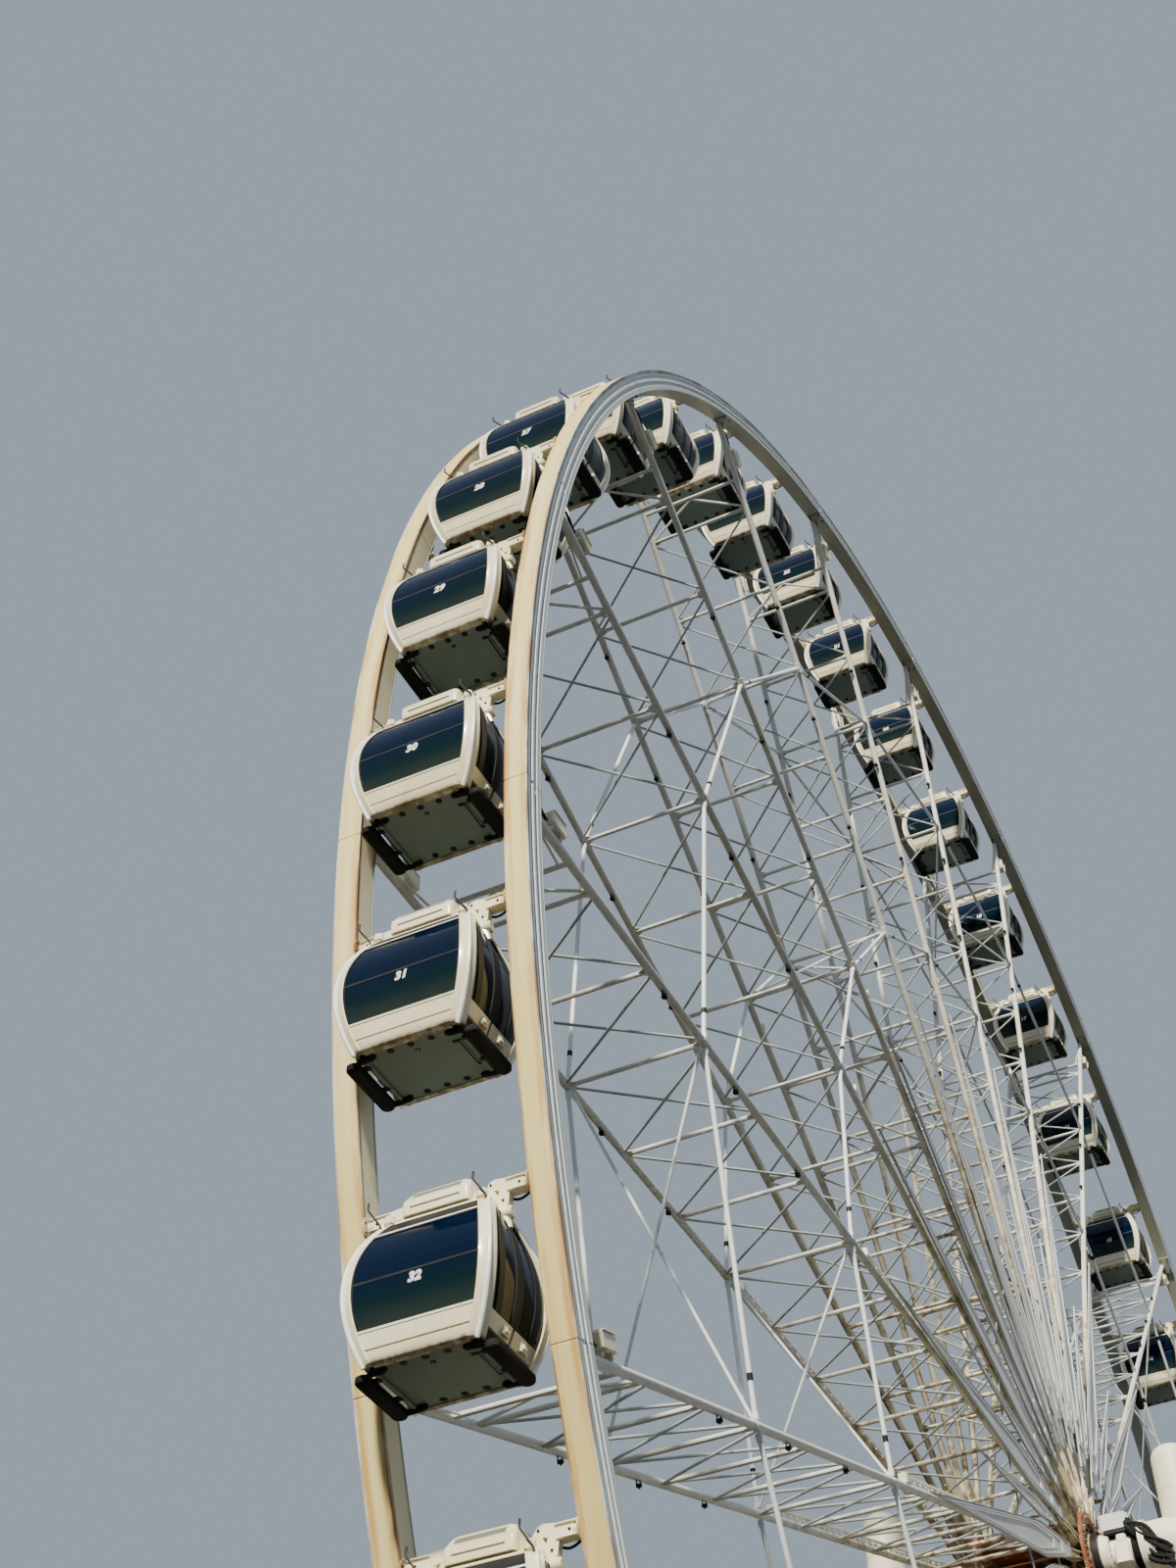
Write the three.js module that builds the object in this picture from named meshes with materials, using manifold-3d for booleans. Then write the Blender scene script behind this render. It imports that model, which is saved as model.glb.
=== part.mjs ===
// Large transportable ferris wheel with closed passenger cabins, as a 1:2 scale model.
// Frame: millimetres, +Z up, axle along Y, origin at the centre of the base on the ground.
// Driving dimensions are metres of the full-size wheel, turned to model millimetres by mm().

import * as THREE from 'three';
import { mergeVertices } from 'three/addons/utils/BufferGeometryUtils.js';
import Module from 'manifold-3d';

const wasm = await Module();
wasm.setup();

const modelScale = 0.5;
const mm = (metres) => metres * 1000 * modelScale;
const fitGap = 0.3;

// Whole wheel
const axleHeight = mm(28.0);
const spokeCount = 21;
const cabinCount = 42;
const bayAngle = (2 * Math.PI) / spokeCount;
const cabinPitch = (2 * Math.PI) / cabinCount;
const firstSpokeAngle = Math.PI;
const firstCabinAngle = firstSpokeAngle + 0.25 * bayAngle;
const cabinAtFirstAngle = 31;

// Rims: box-section rings, with a flat facet at every spoke and every cabin
const rimFacets = 84;
const rimOuter = mm(25.0);
const rimInner = mm(24.6);
const rimNear = mm(1.04);
const rimFar = mm(1.36);

// Spoke frames: radial ladders whose two chords run from hub flange to rim
const framesPerGroup = 3;
const chordSides = 6;
const chordApothem = mm(0.065);
const chordOffset = mm(1.09);
const rungSize = mm(0.07);
const rungRadii = [3.6, 5.5, 7.4, 9.3, 11.2, 13.1, 15.03, 16.97, 18.93, 20.77, 22.6].map(mm);
const tieSize = mm(0.075);
const tieRadii = [13.1, 18.93].map(mm);

// Hub: drum with two flange discs, turning on a fixed axle tube
const hubFacets = 42;
const axleSides = 28;
const axleRadius = mm(0.32);
const drumRadius = mm(0.55);
const flangeRadius = mm(0.95);
const flangeInside = mm(0.93);
const flangeOutside = mm(1.25);

// Support towers: a domed head at each end of the axle, on two leaning legs
const towerOffset = mm(3.1);
const headSides = 24;
const headLowRadius = mm(0.43);
const headTopRadius = mm(0.4);
const headBelowAxle = mm(1.9);
const headAboveAxle = mm(1.67);
const domeHeight = mm(0.3);
const domeSteps = 3;
const bossRadius = mm(0.5);
const bossEnd = mm(2.2);
const legSides = 20;
const legTopRadius = mm(0.34);
const legFootRadius = mm(0.55);
const footHalfSpread = mm(11.9);
const footOffset = mm(5.5);
const footPlateSide = mm(2.6);
const footPlateThickness = mm(0.24);

// Cabins: a barrel that bulges both ways, hung on two end brackets with pins.
// Each section is its height from the pivot, its half length in X and its half width in Y.
const pivotRadius = mm(24.9);
const cabinSections = [
  [-2.12, 0.555, 0.673], [-1.88, 0.621, 0.773], [-1.6, 0.681, 0.852], [-1.3, 0.709, 0.89],
  [-1.0, 0.685, 0.881], [-0.7, 0.592, 0.825], [-0.45, 0.452, 0.739], [-0.24, 0.281, 0.643],
].map((section) => section.map(mm));
const coolerHalfLength = mm(0.33);
const coolerHalfWidth = mm(0.42);
const coolerBottom = mm(-0.28);
const coolerTop = mm(0.15);
const bumperHalfLength = mm(0.47);
const bumperInside = mm(0.62);
const bumperOutside = mm(0.86);
const bumperBottom = mm(-2.2);
const bumperTop = mm(-2.08);
const hangerHalfThickness = mm(0.06);
const hangerOutline = [
  [0.5, -0.3], [0.5, 0.09], [0.6, 0.125], [0.96, 0.08],
  [0.96, -0.055], [0.79, -0.06], [0.79, -0.36], [0.7, -0.4],
].map((point) => point.map(mm));
const hangerFace = mm(0.96);
const pinSides = 6;
const pinRadius = mm(0.075);

// Materials
const finish = (color, roughness, metalness) =>
  new THREE.MeshStandardMaterial({ color, roughness, metalness });
const rimPaint = finish(0xd9d3c2, 0.55, 0.1);
const trussPaint = finish(0xe4e2da, 0.5, 0.1);
const hubPaint = finish(0xa88a6c, 0.7, 0.3);
const towerPaint = finish(0xe9e8e3, 0.45, 0.1);
const cabinPaint = finish(0xcfc8b4, 0.5, 0.1);

// A closed manifold from any closed three.js geometry, turned the right way out
function solid(geometry) {
  const bare = geometry.clone();
  bare.deleteAttribute('normal');
  bare.deleteAttribute('uv');
  const merged = mergeVertices(bare, 1e-3);
  const index = Array.from(merged.index.array);
  const triangles = [];
  for (let i = 0; i < index.length; i += 3) {
    const [a, b, c] = index.slice(i, i + 3);
    if (a !== b && b !== c && c !== a) triangles.push(a, b, c);
  }
  const positions = merged.attributes.position.array;
  if (signedVolume(positions, triangles) < 0) triangles.reverse();
  return new wasm.Manifold(new wasm.Mesh({
    numProp: 3,
    vertProperties: new Float32Array(positions),
    triVerts: new Uint32Array(triangles),
  }));
}

function signedVolume(positions, triangles) {
  const corner = (i) => new THREE.Vector3().fromArray(positions, 3 * i);
  let volume = 0;
  for (let i = 0; i < triangles.length; i += 3) {
    const [a, b, c] = [triangles[i], triangles[i + 1], triangles[i + 2]].map(corner);
    volume += a.dot(b.cross(c)) / 6;
  }
  return volume;
}

function geometryOf(manifold) {
  const mesh = manifold.getMesh();
  const geometry = new THREE.BufferGeometry();
  const positions = [];
  for (let i = 0; i < mesh.vertProperties.length; i += mesh.numProp) {
    positions.push(mesh.vertProperties[i], mesh.vertProperties[i + 1], mesh.vertProperties[i + 2]);
  }
  geometry.setAttribute('position', new THREE.Float32BufferAttribute(positions, 3));
  geometry.setIndex(Array.from(mesh.triVerts));
  geometry.computeVertexNormals();
  return geometry;
}

const join = (solids) => solids.reduce((sum, next) => sum.add(next));

function box(low, high) {
  const size = high.map((value, axis) => value - low[axis]);
  const geometry = new THREE.BoxGeometry(...size);
  return geometry.translate(...low.map((value, axis) => value + size[axis] / 2));
}

// A bar of regular section between two points; its first flat faces the given side
function bar(start, end, sides, apothemStart, apothemEnd, side) {
  const along = end.clone().sub(start);
  const toCorner = 1 / Math.cos(Math.PI / sides);
  const geometry = new THREE.CylinderGeometry(
    apothemEnd * toCorner, apothemStart * toCorner, along.length(), sides, 1, false, Math.PI / sides,
  );
  const up = along.clone().normalize();
  const across = side.clone().addScaledVector(up, -side.dot(up)).normalize();
  const turn = new THREE.Matrix4().makeBasis(
    new THREE.Vector3().crossVectors(up, across), up, across,
  );
  geometry.applyMatrix4(turn);
  const middle = start.clone().add(end).multiplyScalar(0.5);
  return geometry.translate(middle.x, middle.y, middle.z);
}

// A ring or disc about the axle; its radii are measured to the middle of a facet
function turned(profile, facets) {
  const toCorner = 1 / Math.cos(Math.PI / facets);
  const points = profile.map(([radius, y]) => new THREE.Vector2(radius * toCorner, y));
  points.push(points[0].clone());
  return new THREE.LatheGeometry(points, facets, firstSpokeAngle / 2 + Math.PI / facets);
}

// Rotation about the axle that carries local +X to the given wheel angle
const toAngle = (geometry, angle) => geometry.rotateY(-angle);

const model = new THREE.Group();
const wheel = new THREE.Group();
wheel.position.z = axleHeight;
model.add(wheel);

function place(parent, name, manifold, material) {
  const mesh = new THREE.Mesh(geometryOf(manifold), material);
  mesh.name = name;
  parent.add(mesh);
  return mesh;
}

function rim(side) {
  const profile = [
    [rimInner, side * rimNear], [rimOuter, side * rimNear],
    [rimOuter, side * rimFar], [rimInner, side * rimFar],
  ];
  return solid(turned(profile, rimFacets));
}

function hub() {
  const bore = axleRadius / Math.cos(Math.PI / axleSides) + fitGap;
  const half = [[flangeRadius, flangeInside], [flangeRadius, flangeOutside], [bore, flangeOutside]];
  const mirrored = half.map(([radius, y]) => [radius, -y]).reverse();
  const profile = [
    [drumRadius, flangeInside], ...half, ...mirrored, [drumRadius, -flangeInside],
  ];
  return solid(turned(profile, hubFacets));
}

// One chord of the frame that stands at local angle zero
function chord(side, grow = 0) {
  const start = new THREE.Vector3(flangeRadius + fitGap - grow, side * chordOffset, 0);
  const end = new THREE.Vector3(rimInner - fitGap + grow, side * chordOffset, 0);
  const flat = new THREE.Vector3(0, 1, 0);
  return bar(start, end, chordSides, chordApothem + grow, chordApothem + grow, flat);
}

function ladder(angle) {
  const pieces = [chord(-1), chord(1)];
  const half = rungSize / 2;
  for (const radius of rungRadii) {
    pieces.push(box([radius - half, -chordOffset, -half], [radius + half, chordOffset, half]));
  }
  return join(pieces.map((piece) => solid(toAngle(piece, angle))));
}

// Straight ties from one frame's chords to the next frame's chords
function ties(angle) {
  const pieces = [];
  for (const radius of tieRadii) {
    for (const side of [-1, 1]) {
      const at = (a) => new THREE.Vector3(radius * Math.cos(a), side * chordOffset, radius * Math.sin(a));
      const flat = new THREE.Vector3(0, 1, 0);
      const tie = bar(at(angle), at(angle + bayAngle), 4, tieSize / 2, tieSize / 2, flat);
      pieces.push(solid(tie));
    }
  }
  return join(pieces);
}

function spokeGroup(firstAngle) {
  const pieces = [];
  for (let i = 0; i < framesPerGroup; i += 1) {
    const angle = firstAngle + i * bayAngle;
    pieces.push(ladder(angle), ties(angle));
  }
  const nextAngle = firstAngle + framesPerGroup * bayAngle;
  const nextChords = [-1, 1].map((side) => solid(toAngle(chord(side, fitGap), nextAngle)));
  return join(pieces).subtract(join(nextChords));
}

// A box whose level rings are moved out to the cabin's sections
function cabinBarrel() {
  const levels = cabinSections.length - 1;
  const geometry = new THREE.BoxGeometry(2, 2, levels, 1, 1, levels);
  const position = geometry.attributes.position;
  for (let i = 0; i < position.count; i += 1) {
    const level = Math.round(position.getZ(i) + levels / 2);
    const [z, halfLength, halfWidth] = cabinSections[level];
    position.setXYZ(i, position.getX(i) * halfLength, position.getY(i) * halfWidth, z);
  }
  return geometry;
}

function cabinBody() {
  const cooler = box(
    [-coolerHalfLength, -coolerHalfWidth, coolerBottom], [coolerHalfLength, coolerHalfWidth, coolerTop],
  );
  const bumpers = [[-bumperOutside, -bumperInside], [bumperInside, bumperOutside]].map(
    ([low, high]) => box([-bumperHalfLength, low, bumperBottom], [bumperHalfLength, high, bumperTop]),
  );
  return [cabinBarrel(), cooler, ...bumpers];
}

// Gusset at one end of the roof, with the pin that turns in the rim
function cabinHanger(side) {
  const outline = new THREE.Shape(hangerOutline.map(([y, z]) => new THREE.Vector2(side * y, z)));
  const gusset = new THREE.ExtrudeGeometry(outline, {
    depth: 2 * hangerHalfThickness, bevelEnabled: false,
  });
  gusset.rotateX(Math.PI / 2).rotateZ(Math.PI / 2).translate(-hangerHalfThickness, 0, 0);
  const start = new THREE.Vector3(0, side * (hangerFace - pinRadius), 0);
  const end = new THREE.Vector3(0, side * (rimNear - fitGap), 0);
  const pin = bar(start, end, pinSides, pinRadius, pinRadius, new THREE.Vector3(0, 0, 1));
  return [gusset, pin];
}

// A head, or with a positive grow value the space to keep clear round it
function towerHead(side, grow = 0) {
  const bottom = -headBelowAxle - grow;
  const points = [new THREE.Vector2(0, bottom), new THREE.Vector2(headLowRadius + grow, bottom)];
  for (let i = 0; i <= domeSteps; i += 1) {
    const rise = (i / domeSteps) * (Math.PI / 2);
    const radius = i === domeSteps ? 0 : (headTopRadius + grow) * Math.cos(rise);
    points.push(new THREE.Vector2(radius, headAboveAxle + domeHeight * Math.sin(rise)));
  }
  const column = new THREE.LatheGeometry(points, headSides).rotateX(Math.PI / 2);
  column.translate(0, side * towerOffset, axleHeight);
  const boss = bar(
    new THREE.Vector3(0, side * towerOffset, axleHeight),
    new THREE.Vector3(0, side * bossEnd, axleHeight),
    headSides, bossRadius + grow, bossRadius + grow, new THREE.Vector3(0, 0, 1),
  );
  return join([column, boss].map(solid));
}

function leg(side, hand) {
  const foot = new THREE.Vector3(hand * footHalfSpread, side * footOffset, 0);
  const top = new THREE.Vector3(0, side * towerOffset, axleHeight);
  const tube = bar(foot, top, legSides, legFootRadius, legTopRadius, new THREE.Vector3(0, 1, 0));
  const half = footPlateSide / 2;
  const below = box(
    [foot.x - 2 * half, foot.y - 2 * half, -footPlateSide],
    [foot.x + 2 * half, foot.y + 2 * half, footPlateThickness / 2],
  );
  const plate = box(
    [foot.x - half, foot.y - half, 0], [foot.x + half, foot.y + half, footPlateThickness],
  );
  return solid(tube).subtract(towerHead(side, fitGap)).subtract(solid(below)).add(solid(plate));
}

place(wheel, 'front_rim', rim(-1), rimPaint);
place(wheel, 'rear_rim', rim(1), rimPaint);
place(wheel, 'hub', hub(), hubPaint);

for (let group = 0; group < spokeCount / framesPerGroup; group += 1) {
  const angle = firstSpokeAngle + group * framesPerGroup * bayAngle;
  place(wheel, `spoke_frames_${group + 1}`, spokeGroup(angle), trussPaint);
}

const cabin = join([...cabinBody(), ...cabinHanger(-1), ...cabinHanger(1)].map(solid));
for (let number = 1; number <= cabinCount; number += 1) {
  const angle = firstCabinAngle + (number - cabinAtFirstAngle) * cabinPitch;
  const mesh = place(wheel, `cabin_${String(number).padStart(2, '0')}`, cabin, cabinPaint);
  mesh.position.set(pivotRadius * Math.cos(angle), 0, pivotRadius * Math.sin(angle));
}

const axle = bar(
  new THREE.Vector3(0, -bossEnd + fitGap, 0), new THREE.Vector3(0, bossEnd - fitGap, 0),
  axleSides, axleRadius, axleRadius, new THREE.Vector3(0, 0, 1),
);
place(wheel, 'axle', solid(axle), towerPaint);

for (const [sideName, side] of [['front', -1], ['rear', 1]]) {
  place(model, `${sideName}_tower_head`, towerHead(side), towerPaint);
  for (const [handName, hand] of [['left', -1], ['right', 1]]) {
    place(model, `${sideName}_${handName}_leg`, leg(side, hand), towerPaint);
  }
}

export default model;
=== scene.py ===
import math

import bmesh
import bpy
import numpy as np
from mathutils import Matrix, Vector


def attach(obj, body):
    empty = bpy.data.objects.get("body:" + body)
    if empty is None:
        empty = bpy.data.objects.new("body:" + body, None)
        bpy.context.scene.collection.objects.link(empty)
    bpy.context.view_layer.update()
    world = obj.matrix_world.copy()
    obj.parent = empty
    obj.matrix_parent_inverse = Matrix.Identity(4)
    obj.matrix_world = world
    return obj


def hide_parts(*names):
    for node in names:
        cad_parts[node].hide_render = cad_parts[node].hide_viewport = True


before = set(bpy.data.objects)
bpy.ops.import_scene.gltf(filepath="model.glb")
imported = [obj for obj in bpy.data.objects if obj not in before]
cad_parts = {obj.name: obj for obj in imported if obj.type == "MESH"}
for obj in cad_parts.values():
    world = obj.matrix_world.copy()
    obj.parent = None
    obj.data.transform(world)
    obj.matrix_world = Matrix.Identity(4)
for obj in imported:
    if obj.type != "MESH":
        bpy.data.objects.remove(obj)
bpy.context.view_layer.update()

# Lengths below are metres of the full-size wheel, measured from the axle or from a cabin's pivot.
# modelScale turns them into the model's metres where a mesh, a place or a material is made.
modelScale = 0.5
hubHeight = 28.0
hubPoint = Vector((0, 0, hubHeight))
spokeCount = 21
cabinCount = 42
bayAngle = 2 * math.pi / spokeCount
firstSpokeAngle = math.pi
pivotRadius = 24.9
chordOffset = 1.09


def wheelTurn(angle):
    # carries local +X to that wheel angle and local +Z to the direction in which angles grow
    c, s = math.cos(angle), math.sin(angle)
    return np.array([[c, 0, -s, 0], [0, 1, 0, 0], [s, 0, c, 0], [0, 0, 0, 1.0]])


def spokeAngle(index):
    return firstSpokeAngle + index * bayAngle


def cabinAngle(number):
    return firstSpokeAngle + 0.25 * bayAngle + (number - 31) * bayAngle / 2


def mix(a, b, t):
    return a + (b - a) * t


def shifted(x, y, z):
    place = np.eye(4)
    place[:3, 3] = (x, y, z)
    return place


def about(centre, half):
    # low and high corner of a block from its centre and half sizes
    return Vector(centre) - Vector(half), Vector(centre) + Vector(half)


def chamfered(halfWidth, halfHeight, bevel):
    # outline of a rectangle with cut corners
    w, h, b = halfWidth, halfHeight, min(bevel, 0.9 * halfWidth, 0.9 * halfHeight)
    return [(b - w, -h), (w - b, -h), (w, b - h), (w, h - b),
            (w - b, h), (b - w, h), (-w, h - b), (-w, b - h)]


class Shape:
    # collects closed forms in full-size metres; place moves what is added next
    def __init__(self):
        self.points = []
        self.faces = []
        self.marks = []
        self.place = np.eye(4)

    def add(self, points, faces, mark=0):
        start = len(self.points)
        moved = np.asarray(points, float) @ self.place[:3, :3].T + self.place[:3, 3]
        self.points.extend(moved.tolist())
        self.faces.extend(tuple(start + i for i in face) for face in faces)
        self.marks.extend([mark] * len(faces))

    def loft(self, rings, mark=0, loop=False):
        # skins a row of equal rings; the ends are closed unless the row is a loop
        count = len(rings[0])
        faces = []
        for i in range(len(rings) if loop else len(rings) - 1):
            low = i * count
            high = ((i + 1) % len(rings)) * count
            for j in range(count):
                k = (j + 1) % count
                faces.append((low + j, low + k, high + k, high + j))
        if not loop:
            faces.append(tuple(reversed(range(count))))
            faces.append(tuple(range((len(rings) - 1) * count, len(rings) * count)))
        self.add([point for ring in rings for point in ring], faces, mark)

    def tube(self, path, radius, sides=8, mark=0, loop=False):
        # round bar along a path; radius may be one number or one for each point
        path = [Vector(point) for point in path]
        radii = list(radius) if hasattr(radius, "__len__") else [radius] * len(path)
        count = len(path)
        rings = []
        across = None
        for i, point in enumerate(path):
            before = path[i - 1] if i or loop else point
            after = path[(i + 1) % count] if i < count - 1 or loop else point
            along = (after - before).normalized()
            if across is None:
                across = Vector((0, 1, 0) if abs(along.y) < 0.9 else (1, 0, 0))
            across = (across - along * along.dot(across)).normalized()
            other = along.cross(across)
            turn = [2 * math.pi * (j + 0.5) / sides for j in range(sides)]
            rings.append([point + radii[i] * (across * math.cos(a) + other * math.sin(a)) for a in turn])
        self.loft(rings, mark, loop)

    def strip(self, path, width, height, bevel=0.004, mark=0, up=(0, 0, 1)):
        # bar of chamfered rectangular section along a path, its height along up
        path = [Vector(point) for point in path]
        section = chamfered(width / 2, height / 2, bevel)
        rings = []
        for i, point in enumerate(path):
            before = path[max(i - 1, 0)]
            after = path[min(i + 1, len(path) - 1)]
            along = (after - before).normalized()
            high = (Vector(up) - along * along.dot(Vector(up))).normalized()
            side = along.cross(high)
            rings.append([point + side * a + high * b for a, b in section])
        self.loft(rings, mark)

    def block(self, low, high, bevel=0.01, mark=0, top=1.0):
        # box with chamfered edges; top narrows its upper face
        low, high = Vector(low), Vector(high)
        middle, half = (low + high) / 2, (high - low) / 2
        bevel = min(bevel, 0.45 * min(half))
        rings = []
        for z, inset in ((low.z, bevel), (low.z + bevel, 0), (high.z - bevel, 0), (high.z, bevel)):
            share = mix(1, top, (z - low.z) / (high.z - low.z))
            outline = chamfered(half.x * share - inset, half.y * share - inset, bevel)
            rings.append([(middle.x + x, middle.y + y, z) for x, y in outline])
        self.loft(rings, mark)

    def turned(self, profile, segments, mark=0):
        # closed profile of (radius, height) pairs turned about the local Y axis
        rings = []
        for i in range(segments):
            angle = 2 * math.pi * i / segments
            c, s = math.cos(angle), math.sin(angle)
            rings.append([(r * c, h, r * s) for r, h in profile])
        self.loft(rings, mark, loop=True)

    def disc(self, centre, radius, depth, axis="y", sides=12, bevel=0.0, mark=0):
        # short solid cylinder from its centre along one axis, with a chamfer at the far end
        steps = [(radius, 0), (radius, depth)]
        if bevel:
            steps = [(radius, 0), (radius, depth - math.copysign(bevel, depth)), (radius - bevel, depth)]
        rings = []
        for r, h in steps:
            ring = []
            for j in range(sides):
                a = 2 * math.pi * (j + 0.5) / sides
                flat = [r * math.cos(a), r * math.sin(a)]
                flat.insert("xyz".index(axis), h)
                ring.append(Vector(flat) + Vector(centre))
            rings.append(ring)
        self.loft(rings, mark)

    def prism(self, outline, offset, mark=0):
        # a flat outline of points in space, thickened by an offset
        shift = Vector(offset)
        self.loft([[Vector(p) for p in outline], [Vector(p) + shift for p in outline]], mark)

    def take(self, other, place=None, mark=None):
        # adds all that another shape holds, with its own marks or with the one given
        points = np.asarray(other.points, float)
        if place is not None:
            points = points @ place[:3, :3].T + place[:3, 3]
        start = len(self.points)
        self.points.extend(points.tolist())
        self.faces.extend(tuple(start + i for i in face) for face in other.faces)
        self.marks.extend(other.marks if mark is None else [mark] * len(other.marks))

    def mesh(self, name, finishes, sharpAngle=0.6):
        mesh = bpy.data.meshes.new(name)
        points = np.asarray(self.points, float) * modelScale
        mesh.from_pydata(points.tolist(), [], self.faces)
        mesh.polygons.foreach_set("material_index", self.marks)
        work = bmesh.new()
        work.from_mesh(mesh)
        bmesh.ops.recalc_face_normals(work, faces=work.faces)
        work.to_mesh(mesh)
        work.free()
        mesh.polygons.foreach_set("use_smooth", [True] * len(mesh.polygons))
        mesh.set_sharp_from_angle(angle=sharpAngle)
        for finish in finishes:
            mesh.materials.append(finish)
        mesh.update()
        return mesh


def makePiece(name, mesh, body, centre, replaces=()):
    piece = bpy.data.objects.new(name, mesh)
    piece.location = Vector(centre) * modelScale
    bpy.context.scene.collection.objects.link(piece)
    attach(piece, body)
    if replaces:
        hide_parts(*replaces)


def finishedMesh(name, shape, keys):
    return shape.mesh(name, [finishes[key] for key in keys])


def finishedPiece(name, shape, keys, body, replaces=(), centre=hubPoint):
    # keys name the finishes in the order of the shape's marks
    makePiece(name, finishedMesh(name, shape, keys), body, centre, replaces)


def boltCircle(shape, count, radius, level, size, depth, mark=1, phase=0.0, bevel=0.004):
    # bolt heads on a circle round the local Y axis, standing out along it
    for i in range(count):
        a = 2 * math.pi * (i + phase) / count
        shape.disc((radius * math.cos(a), level, radius * math.sin(a)), size, depth, "y", 6, bevel, mark)


# Shader maths

class Wire:
    # one socket of a material, with operators that add Math nodes
    def __init__(self, paint, socket):
        self.paint = paint
        self.socket = socket

    def maths(self, operation, first, second=0.0):
        return self.paint.node("ShaderNodeMath", {"operation": operation}, {0: first, 1: second})

    def __add__(self, other):
        return self.maths("ADD", self, other)

    def __radd__(self, other):
        return self.maths("ADD", other, self)

    def __sub__(self, other):
        return self.maths("SUBTRACT", self, other)

    def __rsub__(self, other):
        return self.maths("SUBTRACT", other, self)

    def __mul__(self, other):
        return self.maths("MULTIPLY", self, other)

    def __rmul__(self, other):
        return self.maths("MULTIPLY", other, self)

    def __truediv__(self, other):
        return self.maths("DIVIDE", self, other)

    def __abs__(self):
        return self.maths("ABSOLUTE", self)

    def above(self, low, high):
        # 0 below low, 1 above high, smooth between; with low above high it falls instead
        span = {"interpolation_type": "SMOOTHSTEP"}
        values = {"Value": self, "From Min": min(low, high), "From Max": max(low, high)}
        rise = self.paint.node("ShaderNodeMapRange", span, values)
        return rise if low < high else 1 - rise


class Paint:
    # a material with one Principled shader
    def __init__(self, name, **constants):
        self.material = bpy.data.materials.new(name)
        self.material.use_nodes = True
        self.tree = self.material.node_tree
        self.shader = self.tree.nodes["Principled BSDF"]
        self.set(constants)
        # the piece's own coordinates, in full-size metres
        place = self.node("ShaderNodeTexCoord", {}, {}, "Object")
        self.spread = self.vectorMaths("SCALE", {0: place, "Scale": 1 / modelScale})
        split = self.nodeItself("ShaderNodeSeparateXYZ", {}, {"Vector": self.spread})
        self.x, self.y, self.z = (Wire(self, socket) for socket in split.outputs)

    def nodeItself(self, kind, settings, values):
        made = self.tree.nodes.new(kind)
        for key, value in settings.items():
            setattr(made, key, value)
        for key, value in values.items():
            if isinstance(value, Wire):
                self.tree.links.new(value.socket, made.inputs[key])
            else:
                made.inputs[key].default_value = value
        return made

    def node(self, kind, settings, values, output=0):
        return Wire(self, self.nodeItself(kind, settings, values).outputs[output])

    def vectorMaths(self, operation, values, output=0):
        return self.node("ShaderNodeVectorMath", {"operation": operation}, values, output)

    def set(self, values):
        # links or sets the shader's own sockets
        for key, value in values.items():
            socket = self.shader.inputs[key.replace("_", " ")]
            if isinstance(value, Wire):
                self.tree.links.new(value.socket, socket)
            else:
                socket.default_value = value

    def noise(self, scale, detail=3.0, stretch=(1, 1, 1), rough=0.55, source=None):
        spot = self.vectorMaths("MULTIPLY", {0: source or self.spread, 1: stretch})
        values = {"Vector": spot, "Scale": scale, "Detail": detail, "Roughness": rough}
        return self.node("ShaderNodeTexNoise", {}, values)

    def blend(self, factor, first, second):
        first, second = (value if isinstance(value, Wire) else (*value, 1) for value in (first, second))
        return self.node("ShaderNodeMix", {"data_type": "RGBA"}, {0: factor, 6: first, 7: second}, 2)

    def around(self, lengthwise):
        # position round the wheel with no seam, the other axis along the axle
        radius = self.radius()
        values = {"X": self.x / radius * lengthwise, "Y": self.y, "Z": self.z / radius * lengthwise}
        return self.node("ShaderNodeCombineXYZ", {}, values)

    def radius(self):
        # distance from the axle
        flat = self.vectorMaths("MULTIPLY", {0: self.spread, 1: (1, 0, 1)})
        return self.vectorMaths("LENGTH", {0: flat}, "Value")

    def perCabin(self):
        # the place, moved by the cabin's own seed
        seed = self.node("ShaderNodeAttribute", {"attribute_name": "seed"}, {}, "Fac")
        return self.vectorMaths("ADD", {0: self.spread, 1: seed})

    def bump(self, height, strength, distance=0.01):
        values = {"Height": height, "Strength": strength, "Distance": distance * modelScale}
        self.set({"Normal": self.node("ShaderNodeBump", {}, values)})


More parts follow.
